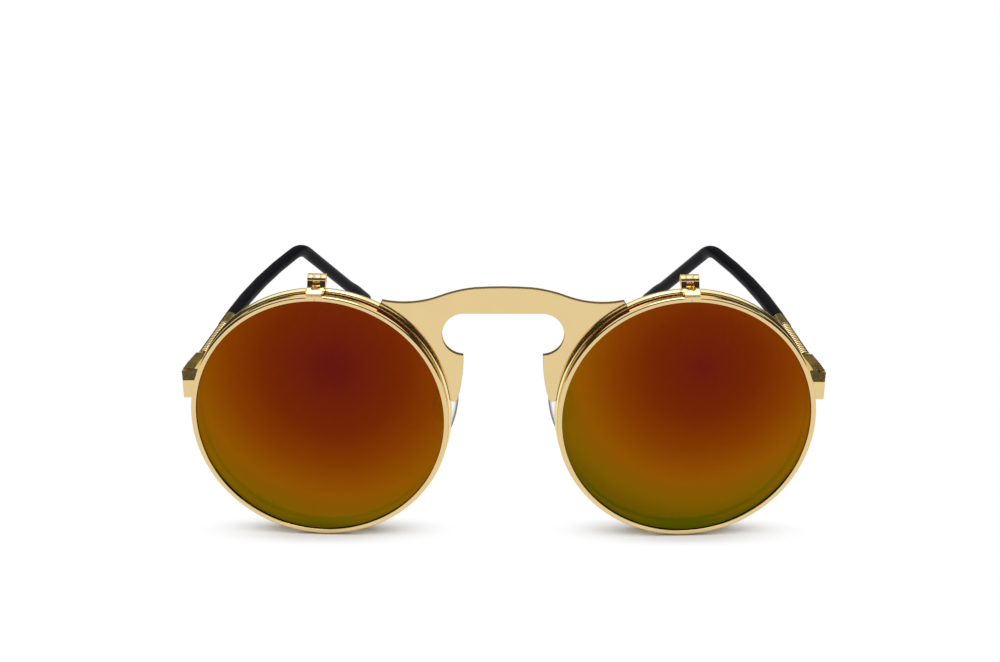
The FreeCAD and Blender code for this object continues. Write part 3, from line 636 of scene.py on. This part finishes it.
# Drawing in edit mode


def added(primitive, **settings):
    """New object from a primitive's operator."""
    bpy.ops.object.select_all(action="DESELECT")
    primitive(**settings)
    return bpy.context.object


def open_up():
    """Enters edit mode with the whole mesh selected."""
    bpy.ops.object.mode_set(mode="EDIT")
    bpy.ops.mesh.select_all(action="SELECT")


def pull(way):
    """Extrudes what is selected."""
    bpy.ops.mesh.extrude_region_move(TRANSFORM_OT_translate={"value": way})


def sweep(turn, centre, axis, finest=ARC_STEP):
    """Spins what is selected by a right-handed turn."""
    steps = max(2, ceil(abs(turn) / finest))
    bpy.ops.mesh.spin(steps=steps, angle=-turn, center=centre, axis=axis)


def trace(name, start, strokes):
    """Line drawn in the XY plane. A stroke with a radius and a turn is an arc."""
    spot = Vector(start).to_3d()
    piece = added(bpy.ops.mesh.primitive_plane_add, size=MM, enter_editmode=True)
    piece.name = name
    bpy.ops.mesh.merge(type="CENTER")
    bpy.ops.transform.translate(value=spot)
    for stroke in strokes:
        end = Vector(stroke[:2]).to_3d()
        chord = end - spot
        if len(stroke) == 2:
            pull(chord)
        else:
            radius, turn = stroke[2:]
            half = min(1, chord.length / 2 / radius)
            rise = UP.cross(chord).normalized() * (turn * radius * sqrt(1 - half * half))
            sweep(turn * 2 * asin(half), (spot + end) / 2 + rise, UP)
        spot = end
    return piece


def quarters(axis, radius, *ends):
    """Arcs round an axis, to its right (0), its top (1), its left (2) or its bottom (3)."""
    ways = (Vector((1, 0)), Vector((0, 1)), Vector((-1, 0)), Vector((0, -1)))
    return [(*(axis + ways[end] * radius), radius, LEFT_TURN) for end in ends]


def select_line():
    """Selects everything and merges doubles."""
    bpy.ops.mesh.select_all(action="SELECT")
    bpy.ops.mesh.remove_doubles(threshold=WELD)


def fill_outline():
    """Face inside a closed line, left selected."""
    select_line()
    bpy.ops.mesh.edge_face_add()


def pick(piece, test):
    """Selects the points that pass a test of their place."""
    bpy.ops.mesh.select_all(action="DESELECT")
    mesh = bmesh.from_edit_mesh(piece.data)
    for point in mesh.verts:
        point.select = test(point.co)
    mesh.select_flush(True)
    bmesh.update_edit_mesh(piece.data)


def close_up():
    """Merges doubles, turns every face outwards and leaves edit mode."""
    select_line()
    bpy.ops.mesh.normals_make_consistent(inside=False)
    bpy.ops.object.mode_set(mode="OBJECT")


def revolve(finest):
    """Turns a drawn line once round the Y axis."""
    select_line()
    sweep(FULL_TURN, MIDDLE, BACK, finest)
    close_up()


# Finishing


def alone(piece):
    """Selects one piece and makes it the active one."""
    bpy.ops.object.select_all(action="DESELECT")
    piece.select_set(True)
    bpy.context.view_layer.objects.active = piece


def copied(piece):
    """Copy of a piece."""
    alone(piece)
    bpy.ops.object.duplicate()
    return bpy.context.object


def apply(piece, kind, **settings):
    """Adds a modifier and applies it."""
    alone(piece)
    modifier = piece.modifiers.new(kind.lower(), kind)
    for key, value in settings.items():
        setattr(modifier, key, value)
    bpy.ops.object.modifier_apply(modifier=modifier.name)


def smooth(piece, rounding, flat_area=inf):
    """Rounds the sharp edges and smooths the rest, but for faces above an area, which stay flat."""
    if rounding:
        apply(piece, "BEVEL", width=rounding, segments=BEVEL_SEGMENTS, limit_method="ANGLE",
              angle_limit=SHARP_ANGLE)
    alone(piece)
    bpy.ops.object.shade_smooth_by_angle(angle=SMOOTH_ANGLE)
    for face in piece.data.polygons:
        if face.area > flat_area:
            face.use_smooth = False
    apply(piece, "WEIGHTED_NORMAL", keep_sharp=True)


def mark(piece, name, domain, test):
    """Marks each point or face of a mesh: 1 where it passes a test, or else 0."""
    marks = piece.data.attributes.new(name, "FLOAT", domain)
    entries = {"POINT": piece.data.vertices, "FACE": piece.data.polygons}[domain]
    for entry in entries:
        marks.data[entry.index].value = float(test(entry))


def put(piece, place):
    """Moves a piece's mesh to its place."""
    piece.matrix_world = place
    alone(piece)
    bpy.ops.object.transform_apply(location=True, rotation=True, scale=True)


def dress(piece, name, node, body, finish):
    """Gives a piece its name, finish and body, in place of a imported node."""
    piece.name = name
    piece.data.name = name
    piece.data.materials.clear()
    piece.data.materials.append(FINISHES[finish])
    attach(piece, body)
    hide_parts(node)


def pair(piece, what, place, body, finish, rounding=0):
    """Settles a left piece and its mirror image. A body's name may hold the side."""
    put(piece, place)
    other = copied(piece)
    put(other, Matrix.Scale(-1, 4, ACROSS))
    open_up()
    close_up()
    for side, half in zip(SIDES, (piece, other)):
        smooth(half, rounding)
        dress(half, what + "_" + side, side + "_" + what, body.format(side=side), finish)


# Operators


class EYEWEAR_OT_eyewires(bpy.types.Operator):
    """Spins the rims and the flip rings from their sections"""

    bl_idname = "eyewear.eyewires"
    bl_label = "Rims and flip rings"

    # Faces turned this far towards the gap between ring and rim get the painted light
    gap_facing = 0.2

    def execute(self, context):
        eye = context.scene.eyewear_eye
        rim = self.eyewire(eye, "rim", eye.rim_front, eye.rim_middle)
        self.settle(rim, "rim", "front", -BACK)
        ring = self.eyewire(eye, "ring", 0, eye.ring_seat)
        self.settle(ring, "flip_ring", "{side}_flip", BACK)
        return {"FINISHED"}

    def settle(self, piece, what, body, gap):
        """Marks the faces towards the gap between ring and rim for painted light, and settles both
        sides.
        """
        mark(piece, "gap", "FACE", lambda face: face.normal.dot(gap) > self.gap_facing)
        pair(piece, what, eye_place(), body, "gold")

    def eyewire(self, eye, kind, front, seat):
        """Rim or ring with rounded edges, a groove inside and a seam on top."""
        outer, wall, depth, rounding = (getattr(eye, kind + "_" + size)
                                        for size in ("radius", "wall", "depth", "round"))
        back = front + depth
        inner = outer - wall
        corner = eye.inner_round
        half = eye.seat_half_width
        piece = trace("eyewire", (inner + corner, front), [
            (outer - rounding, front),
            (outer, front + rounding, rounding, LEFT_TURN),
            (outer, back - rounding),
            (outer - rounding, back, rounding, LEFT_TURN),
            (inner + corner, back),
            (inner, back - corner, corner, LEFT_TURN),
            (inner, seat + half),
            (inner + eye.seat_depth, seat),
            (inner, seat - half),
            (inner, front + corner),
            (inner + corner, front, corner, LEFT_TURN),
        ])
        fill_outline()
        seam = eye.seam_width / outer
        sweep(FULL_TURN - seam, MIDDLE, BACK, RING_STEP)
        close_up()
        put(piece, Matrix.Rotation(-QUARTER - seam / 2, 4, "Y"))
        return piece


class EYEWEAR_OT_lenses(bpy.types.Operator):
    """Spins the mirror lenses and the clear lenses"""

    bl_idname = "eyewear.lenses"
    bl_label = "Lenses"

    def execute(self, context):
        eye = context.scene.eyewear_eye
        mirror = self.lens(eye, eye.ring_radius - eye.ring_wall, eye.ring_seat)
        pair(mirror, "mirror_lens", eye_place(), "{side}_flip", "mirror_lens")
        clear = self.lens(eye, eye.rim_radius - eye.rim_wall, eye.rim_middle)
        pair(clear, "clear_lens", eye_place(), "front", "clear_lens")
        return {"FINISHED"}

    def lens(self, eye, inner, seat):
        """Thin dished lens with a ridge round its edge."""
        edge = inner - eye.seat_clearance
        front, back = seat - eye.lens_thickness / 2, seat + eye.lens_thickness / 2
        sag = eye.lens_curve - sqrt(eye.lens_curve ** 2 - edge ** 2)
        ridge = eye.seat_half_width - eye.seat_clearance
        piece = trace("lens", (0, front - sag), [
            (edge, front, eye.lens_curve, LEFT_TURN),
            (edge, seat - ridge),
            (inner + eye.seat_depth - eye.seat_clearance, seat),
            (edge, seat + ridge),
            (edge, back),
            (0, back - sag, eye.lens_curve, RIGHT_TURN),
        ])
        revolve(ARC_STEP)
        mark(piece, "coat", "POINT", lambda point: point.co.y < front + WELD)
        return piece


class EYEWEAR_OT_bridge(bpy.types.Operator):
    """Cuts the bridge plate from a sheet"""

    bl_idname = "eyewear.bridge"
    bl_label = "Bridge plate"

    def execute(self, context):
        eye, bridge = chosen("eye", "bridge")
        centre = eye_place().to_translation()
        piece = self.half_sheet(eye, bridge, centre.x)
        apply(piece, "MIRROR", merge_threshold=WELD)
        open_up()
        bpy.ops.mesh.dissolve_limited(angle_limit=FLAT_ANGLE)
        close_up()
        front = Vector((0, centre.y, centre.z)) + BACK * (eye.rim_front - bridge.lead)
        put(piece, Matrix.Translation(front) @ Matrix.Rotation(QUARTER, 4, "X"))
        smooth(piece, bridge.edge_round)
        # Edge faces of the sheet: duller, and darker with painted shade
        mark(piece, "cut", "FACE", lambda face: abs(face.normal.y) < cos(bridge.cut_angle))
        dress(piece, "bridge_sheet", "bridge_plate", "front", "gold")
        return {"FINISHED"}

    def half_sheet(self, eye, bridge, lens_offset):
        """Left half of the plate, flat, with its cut side open."""
        rim = eye.rim_radius
        crown = bridge.crest_radius - sqrt(bridge.crest_radius ** 2 - bridge.crest_reach ** 2)
        rise, lean = sin(bridge.horn_angle), cos(bridge.horn_angle)
        horn = rim + bridge.horn_rise
        leg_inner = lens_offset - rim - bridge.leg_width
        leg_outer = lens_offset - sqrt(rim ** 2 - bridge.leg_height ** 2)
        window = leg_inner - bridge.leg_flare
        height, radius = bridge.window_height, bridge.window_radius
        lip = (window + radius * sin(bridge.lip_angle),
               height - radius * cos(bridge.lip_angle))
        top = (0, bridge.crest_height + crown)
        piece = trace("bridge_sheet", top, [
            (bridge.crest_reach, bridge.crest_height, bridge.crest_radius, RIGHT_TURN),
            (bridge.shoulder_reach, bridge.shoulder_height, bridge.shoulder_radius, RIGHT_TURN),
            (lens_offset - horn * lean, horn * rise, bridge.hollow_radius, LEFT_TURN),
            (lens_offset - rim * lean, rim * rise),
            (leg_outer, bridge.leg_height, rim, LEFT_TURN),
            (leg_inner, bridge.leg_height, (leg_outer - leg_inner) / 2, RIGHT_TURN),
            (*lip, bridge.leg_curve, RIGHT_TURN),
            (window + radius, height, radius, LEFT_TURN),
            (window, height + radius, radius, LEFT_TURN),
            (0, height + radius),
            top,
        ])
        fill_outline()
        pull(-UP * bridge.thickness)
        pick(piece, lambda spot: abs(spot.x) < WELD)
        bpy.ops.mesh.delete(type="ONLY_FACE")
        close_up()
        return piece


class EYEWEAR_OT_flip_hinges(bpy.types.Operator):
    """Rolls the flip hinges: post, forked bracket and pin"""

    bl_idname = "eyewear.flip_hinges"
    bl_label = "Flip hinges"

    def execute(self, context):
        eye, hinge = chosen("eye", "hinge")
        place = eye_place() @ Matrix((BACK, UP, ACROSS)).transposed().to_4x4()
        axis = Vector((eye.rim_middle, eye.rim_radius + hinge.barrel_lift + hinge.barrel_radius))
        post = self.post(eye, hinge, axis)
        pair(post, "flip_post", place, "front", "gold", hinge.edge_round)
        bracket = self.bracket(eye, hinge, axis)
        pair(bracket, "flip_bracket", place, "{side}_flip", "gold", hinge.edge_round)
        pin = self.profile("flip_pin", (axis.x + hinge.pin_radius, axis.y),
                           quarters(axis, hinge.pin_radius, 1, 2, 3, 0),
                           hinge.fork_width + 2 * hinge.pin_proud)
        pair(pin, "flip_pin", place, "front", "gold", hinge.pin_proud)
        return {"FINISHED"}

    def profile(self, name, start, strokes, width):
        """Side view pulled to a width, half to each side."""
        piece = trace(name, start, strokes)
        fill_outline()
        bpy.ops.transform.translate(value=-UP * (width / 2))
        pull(UP * width)
        close_up()
        return piece

    def post(self, eye, hinge, axis):
        """Keyhole: a post on the rim under the centre knuckle."""
        radius, half = hinge.barrel_radius, hinge.post_thickness / 2
        neck = axis.y - sqrt(radius ** 2 - half ** 2)
        foot = eye.rim_radius - hinge.knuckle_gap
        return self.profile("flip_post", (axis.x - half, foot), [
            (axis.x + half, foot),
            (axis.x + half, neck),
            *quarters(axis, radius, 0, 1, 2),
            (axis.x - half, neck, radius, LEFT_TURN),
            (axis.x - half, foot),
        ], hinge.centre_knuckle)

    def bracket(self, eye, hinge, axis):
        """Upright plate on the ring with a sloped top, and two knuckles either side of a slot."""
        top = eye.ring_radius + hinge.bracket_rise
        under = top - hinge.leaf_thickness
        slope = eye.ring_radius + hinge.slope_foot
        steep = tan(hinge.slope_angle)
        plate_back = hinge.bracket_thickness
        foot = eye.ring_radius - hinge.knuckle_gap
        plate = self.profile("bracket_plate", (0, foot), [
            (plate_back, foot),
            (plate_back, slope + plate_back * steep),
            (0, slope),
            (0, foot),
        ], hinge.bracket_width)
        prongs = [self.solder(hinge, foot)]
        for side in (1, -1):
            prong = self.profile("bracket_prong", (plate_back, under), [
                (hinge.leaf_reach, under),
                (axis.x, axis.y - hinge.barrel_radius),
                *quarters(axis, hinge.barrel_radius, 0, 1, 2),
                (hinge.leaf_reach, top),
                (hinge.slope_run, slope + hinge.slope_run * steep),
                (plate_back, slope + plate_back * steep),
                (plate_back, under),
            ], hinge.outer_knuckle)
            aside = side * (hinge.fork_width - hinge.outer_knuckle) / 2
            put(prong, Matrix.Translation(UP * aside))
            prongs.append(prong)
        alone(plate)
        for prong in prongs:
            prong.select_set(True)
        bpy.ops.object.join()
        return plate

    def solder(self, hinge, foot):
        """Flared foot that joins the upright plate to the ring."""
        half, spread = hinge.bracket_width / 2, hinge.bracket_width / 2 + hinge.flare_width
        low, high = foot - hinge.flare_width, foot + hinge.flare_height
        curve = hinge.flare_width + hinge.flare_height
        piece = trace("bracket_solder", (-spread, low), [
            (spread, low),
            (half, high, curve, RIGHT_TURN),
            (-half, high),
            (-spread, low, curve, RIGHT_TURN),
        ])
        fill_outline()
        pull(-UP * hinge.bracket_thickness)
        close_up()
        put(piece, Matrix.Rotation(-QUARTER, 4, "Y"))
        return piece


class EYEWEAR_OT_small_metal(bpy.types.Operator):
    """Softens the edges of the end pieces, butts, pad arms and screws"""

    bl_idname = "eyewear.small_metal"
    bl_label = "End pieces, butts, pad arms and screws"

    # Rounding of each piece's edges in millimetres, and the least area that shows as flat
    rounds = {"end_piece": 0.08, "temple_butt": 0.12, "pad_arm": 0.06, "hinge_screw": 0.06,
              "pad_screw": 0.05, "pad_lug": 0.06}
    flat_area = 4 * MM * MM

    def execute(self, context):
        record = frame["record"]
        slots = {part["node"]: part["material_slot"] for part in record["subparts"]}
        bodies = {node: body for body, nodes in record["behaviour"]["bodies"].items()
                  for node in nodes}
        for what, rounding in self.rounds.items():
            for side in SIDES:
                node = side + "_" + what
                piece = copied(frame["nodes"][node])
                piece.parent = None
                open_up()
                bpy.ops.mesh.remove_doubles(threshold=WELD)
                bpy.ops.mesh.dissolve_limited(angle_limit=FLAT_ANGLE)
                bpy.ops.object.mode_set(mode="OBJECT")
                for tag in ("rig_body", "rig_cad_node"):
                    del piece[tag]
                smooth(piece, rounding * MM, self.flat_area)
                dress(piece, what + "_" + side, node, bodies[node], slots[node])
        return {"FINISHED"}


class EYEWEAR_OT_springs(bpy.types.Operator):
    """Winds the temple springs"""

    bl_idname = "eyewear.springs"
    bl_label = "Temple springs"

    def execute(self, context):
        temple = context.scene.eyewear_temple
        start = temple.butt_length + temple.wire_radius
        run = temple.spring_end - temple.butt_length - 2 * temple.wire_radius
        turns = temple.turns + 1
        piece = added(bpy.ops.mesh.primitive_circle_add, vertices=WIRE_SIDES,
                      radius=temple.wire_radius + temple.wire_extra, rotation=(QUARTER, 0, 0),
                      location=(temple.coil_radius, 0, start))
        put(piece, piece.matrix_world.copy())
        apply(piece, "SCREW", axis="Z", screw_offset=run / turns, iterations=turns,
              steps=COIL_STEPS, render_steps=COIL_STEPS)
        open_up()
        bpy.ops.mesh.fill_holes(sides=0)
        close_up()
        pair(piece, "temple_spring", shaft_place() @ LAID_BACK, "{side}_temple", "gold")
        return {"FINISHED"}


class EYEWEAR_OT_sleeves(bpy.types.Operator):
    """Draws the ferrules and the black sleeves along the temples"""

    bl_idname = "eyewear.sleeves"
    bl_label = "Ferrules and sleeves"

    # Small face that ends the tip: its turn from the temple's line, and its share of the radius
    end_turn = radians(4)
    end_share = 0.02

    def execute(self, context):
        eye, temple = chosen("eye", "temple")
        pair(self.ferrule(temple), "ferrule", shaft_place(), "{side}_temple", "old_gold")
        sleeve = self.sleeve(temple, eye.rim_radius + temple.temple_height)
        pair(sleeve, "sleeve", shaft_place() @ LAID_BACK, "{side}_temple", "black_sleeve")
        return {"FINISHED"}

    def ferrule(self, temple):
        """Tube with a tapered nose and softened ends."""
        bore = temple.core_radius + temple.core_clearance
        nose = temple.coil_radius + temple.wire_radius + temple.nose_margin
        start, end, soft = temple.spring_end, temple.sleeve_start, temple.ferrule_round
        piece = trace("ferrule", (bore, start), [
            (nose - soft, start),
            (nose, start + soft, soft, LEFT_TURN),
            (temple.sleeve_radius, start + temple.nose_length),
            (temple.sleeve_radius, end - soft),
            (temple.sleeve_radius - soft, end, soft, LEFT_TURN),
            (bore, end),
            (bore, start),
        ])
        revolve(FERRULE_STEP)
        return piece

    def sleeve(self, temple, drop):
        """Tube that bows inwards, bends down behind the ear and swells at its tip."""
        radius = temple.sleeve_radius
        soft = temple.ferrule_round
        piece = added(bpy.ops.mesh.primitive_circle_add, vertices=SLEEVE_SIDES,
                      radius=radius - soft, fill_type="NGON", location=UP * temple.sleeve_start)
        put(piece, piece.matrix_world.copy())
        open_up()
        pull(UP * soft)
        self.widen(radius / (radius - soft), UP * (temple.sleeve_start + soft))
        pull(UP * (temple.sleeve_straight - soft))
        spot = UP * (temple.sleeve_start + temple.sleeve_straight)
        down = BACK
        centre = spot - ACROSS * (temple.bow_length / temple.bow_angle)
        spot, heading = self.bend(spot, UP, centre, -temple.bow_angle, down)
        centre = spot + down * temple.bend_radius
        spot, heading = self.bend(spot, heading, centre, temple.dip_angle, heading.cross(down))
        fall = temple.bend_radius * (1 - cos(temple.dip_angle))
        tail = (drop - fall - temple.tip_radius) / sin(temple.dip_angle)
        before = 0
        for station, wide in self.tail_stations(temple, tail):
            pull(heading * (station - before))
            self.widen(wide / radius, spot + heading * station)
            before, radius = station, wide
        close_up()
        return piece

    def tail_stations(self, temple, tail):
        """Places along the tail and the radius there, over the flare and the round tip."""
        narrow, wide = temple.sleeve_radius, temple.tip_radius
        start = tail - temple.tip_length - temple.flare_length
        stations = [(start, narrow)]
        for number in range(1, FLARE_STEPS + 1):
            share = number / FLARE_STEPS
            swell = (wide - narrow) * share * share * (3 - 2 * share)
            stations.append((start + share * temple.flare_length, narrow + swell))
        for number in range(TIP_STEPS):
            turn = QUARTER * number / TIP_STEPS
            stations.append((tail + wide * sin(turn), wide * cos(turn)))
        stations.append((tail + wide * cos(self.end_turn), wide * self.end_share))
        return stations

    def bend(self, spot, heading, centre, turn, axis):
        """Sweeps the open end round a centre, and gives its new place and heading."""
        sweep(turn, centre, axis)
        turned = Matrix.Rotation(turn, 3, axis)
        return centre + turned @ (spot - centre), turned @ heading

    def widen(self, factor, centre):
        """Scales what is selected about a point."""
        bpy.ops.transform.resize(value=(factor,) * 3, center_override=centre)


class EYEWEAR_OT_nose_pads(bpy.types.Operator):
    """Moulds the soft nose pads"""

    bl_idname = "eyewear.nose_pads"
    bl_label = "Nose pads"

    def execute(self, context):
        pad = context.scene.eyewear_pad
        piece = added(bpy.ops.mesh.primitive_uv_sphere_add, segments=PAD_SEGMENTS,
                      ring_count=PAD_RINGS, radius=1)
        shape = Matrix.Diagonal((pad.face_depth, pad.width / 2, pad.length / 2, 1))
        put(piece, shape @ Matrix.Rotation(QUARTER, 4, "Y"))
        open_up()
        bpy.ops.mesh.bisect(plane_co=MIDDLE, plane_no=ACROSS, use_fill=True, clear_outer=True,
                            threshold=WELD)
        pick(piece, lambda spot: spot.x > -WELD)
        pull(ACROSS * (pad.back_depth - pad.back_round))
        pull(ACROSS * pad.back_round)
        less = 2 * pad.back_round
        bpy.ops.transform.resize(value=(1, 1 - less / pad.width, 1 - less / pad.length),
                                 center_override=ACROSS * pad.back_depth)
        close_up()
        pair(piece, "nose_pad", pad_place(pad), "{side}_pad", "silicone")
        return {"FINISHED"}


class EYEWEAR_OT_finishes(bpy.types.Operator):
    """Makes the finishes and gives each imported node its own"""

    bl_idname = "eyewear.finishes"
    bl_label = "Finishes"

    def execute(self, context):
        colours = context.scene.eyewear_finish
        # Paler gold for the painted light in the gap between flip ring and rim
        gap_painted_light_tone = tuple(colours.gap_gold)
        for slot, (name, roughness) in PLATINGS.items():
            FINISHES[slot] = plating(name, tuple(getattr(colours, slot)), gap_painted_light_tone, roughness)
        FINISHES.update({
            "mirror_lens": mirror_coating(colours),
            "clear_lens": clear_glass(colours),
            "black_sleeve": satin_plastic(colours),
            "silicone": soft_silicone(colours),
        })
        for part in frame["record"]["subparts"]:
            node = frame["nodes"][part["node"]]
            node.data.materials.clear()
            node.data.materials.append(FINISHES[part["material_slot"]])
        return {"FINISHED"}


class EYEWEAR_OT_stage(bpy.types.Operator):
    """Adds the floor, the sky, the softbox and the camera"""

    bl_idname = "eyewear.stage"
    bl_label = "Stage"

    # Where the floor's shadow fades, in shares of its reach
    shadow_edge = (0.2, 1.0)
    # Where the sky's lights start and end, as parts of a direction
    sky_edge = (0.52, 0.68)
    behind_edge = (0.6, 0.8)
    strip_foot = (0.24, 0.28)
    strip_head = (0.345, 0.36)

    def execute(self, context):
        scene = context.scene
        stage = scene.eyewear_stage
        self.floor(scene.eyewear_eye, stage)
        self.sky(scene, stage)
        self.softbox(scene, stage)
        self.camera(scene, stage)
        scene.view_settings.view_transform = "Standard"
        return {"FINISHED"}

    def floor(self, eye, stage):
        """Floor that is seen white, but for the shadow where the rims touch it."""
        floor = added(bpy.ops.mesh.primitive_plane_add, size=stage.floor_size)
        floor.name = "floor"
        graph = Graph(bpy.data.materials.new("white_floor"))
        contact = eye_place() @ (BACK * (eye.rim_middle / 2))
        spot = graph.spot()
        across = (abs(graph.axis(spot, "X")) - contact.x) / stage.shadow_width
        back = (graph.axis(spot, "Y") - contact.y) / stage.shadow_depth
        away = graph.ease((across * across + back * back) ** 0.5, *self.shadow_edge)
        paper = graph.node("BsdfDiffuse", sockets={"Color": WHITE})
        glow = graph.node("Emission", sockets={"Color": WHITE, "Strength": 1.0})
        camera, glossy, through = (1 - graph.node("LightPath", out="Is %s Ray" % kind)
                                   for kind in ("Camera", "Glossy", "Transmission"))
        seen = 1 - camera * glossy * through
        floor.data.materials.append(graph.surface(graph.blend(seen * away, paper, glow)))

    def sky(self, scene, stage):
        """Even light, white where it is seen."""
        scene.world = bpy.data.worlds.new("sky")
        graph = Graph(scene.world)
        way = graph.node("TexCoord", out="Generated")
        rise = graph.axis(way, "Z")
        high = graph.ease(rise, *self.sky_edge)
        behind = graph.ease(graph.axis(way, "Y"), *self.behind_edge)
        over = 1 - graph.ease(rise, *self.strip_head)
        strip = behind * graph.ease(rise, *self.strip_foot) * over
        studio = high * stage.sky_level + strip * stage.strip_level + stage.room_level
        camera = graph.node("LightPath", out="Is Camera Ray")
        light = graph.node("Background", sockets={
            "Color": WHITE, "Strength": camera + (1 - camera) * studio})
        graph.node("OutputWorld", sockets={"Surface": light})

    def softbox(self, scene, stage):
        """Large soft lamp overhead."""
        lamp = bpy.data.lights.new("softbox", "AREA")
        lamp.size = stage.lamp_size
        lamp.energy = stage.lamp_power
        softbox = bpy.data.objects.new("softbox", lamp)
        softbox.location = (0, stage.lamp_depth, stage.lamp_height)
        scene.collection.objects.link(softbox)

    def camera(self, scene, stage):
        """Camera at the photograph's place."""
        lens = bpy.data.cameras.new("camera")
        lens.lens = stage.focal_length
        camera = bpy.data.objects.new("camera", lens)
        place = Vector((stage.camera_across, stage.camera_depth, stage.camera_height))
        camera.matrix_world = (Matrix.Translation(place)
                               @ Matrix.Rotation(-stage.camera_yaw, 4, "Z")
                               @ Matrix.Rotation(-stage.camera_pitch, 4, "X")
                               @ Matrix.Rotation(stage.camera_roll, 4, "Y")
                               @ Matrix.Rotation(QUARTER, 4, "X"))
        scene.collection.objects.link(camera)
        scene.camera = camera


class EYEWEAR_PT_sunglasses(bpy.types.Panel):
    """Lists the pieces that can be built"""

    bl_idname = "EYEWEAR_PT_sunglasses"
    bl_label = "Flip-up sunglasses"
    bl_space_type = "VIEW_3D"
    bl_region_type = "UI"
    bl_category = "Eyewear"

    def draw(self, context):
        for operator in OPERATORS:
            self.layout.operator(operator.bl_idname)


OPERATORS = (
    EYEWEAR_OT_finishes,
    EYEWEAR_OT_eyewires,
    EYEWEAR_OT_lenses,
    EYEWEAR_OT_bridge,
    EYEWEAR_OT_flip_hinges,
    EYEWEAR_OT_small_metal,
    EYEWEAR_OT_springs,
    EYEWEAR_OT_sleeves,
    EYEWEAR_OT_nose_pads,
    EYEWEAR_OT_stage,
)
CLASSES = tuple(GROUPS.values()) + OPERATORS + (EYEWEAR_PT_sunglasses,)


def register():
    """Adds the settings, operators and panel."""
    for entry in CLASSES:
        bpy.utils.register_class(entry)
    for name, group in GROUPS.items():
        setattr(bpy.types.Scene, name, PointerProperty(type=group))


def unregister():
    """Removes the settings, operators and panel."""
    for name in GROUPS:
        delattr(bpy.types.Scene, name)
    for entry in reversed(CLASSES):
        bpy.utils.unregister_class(entry)


def main():
    """Builds every piece."""
    register()
    for operator in OPERATORS:
        group, name = operator.bl_idname.split(".")
        getattr(getattr(bpy.ops, group), name)()


if __name__ == "__main__":
    main()
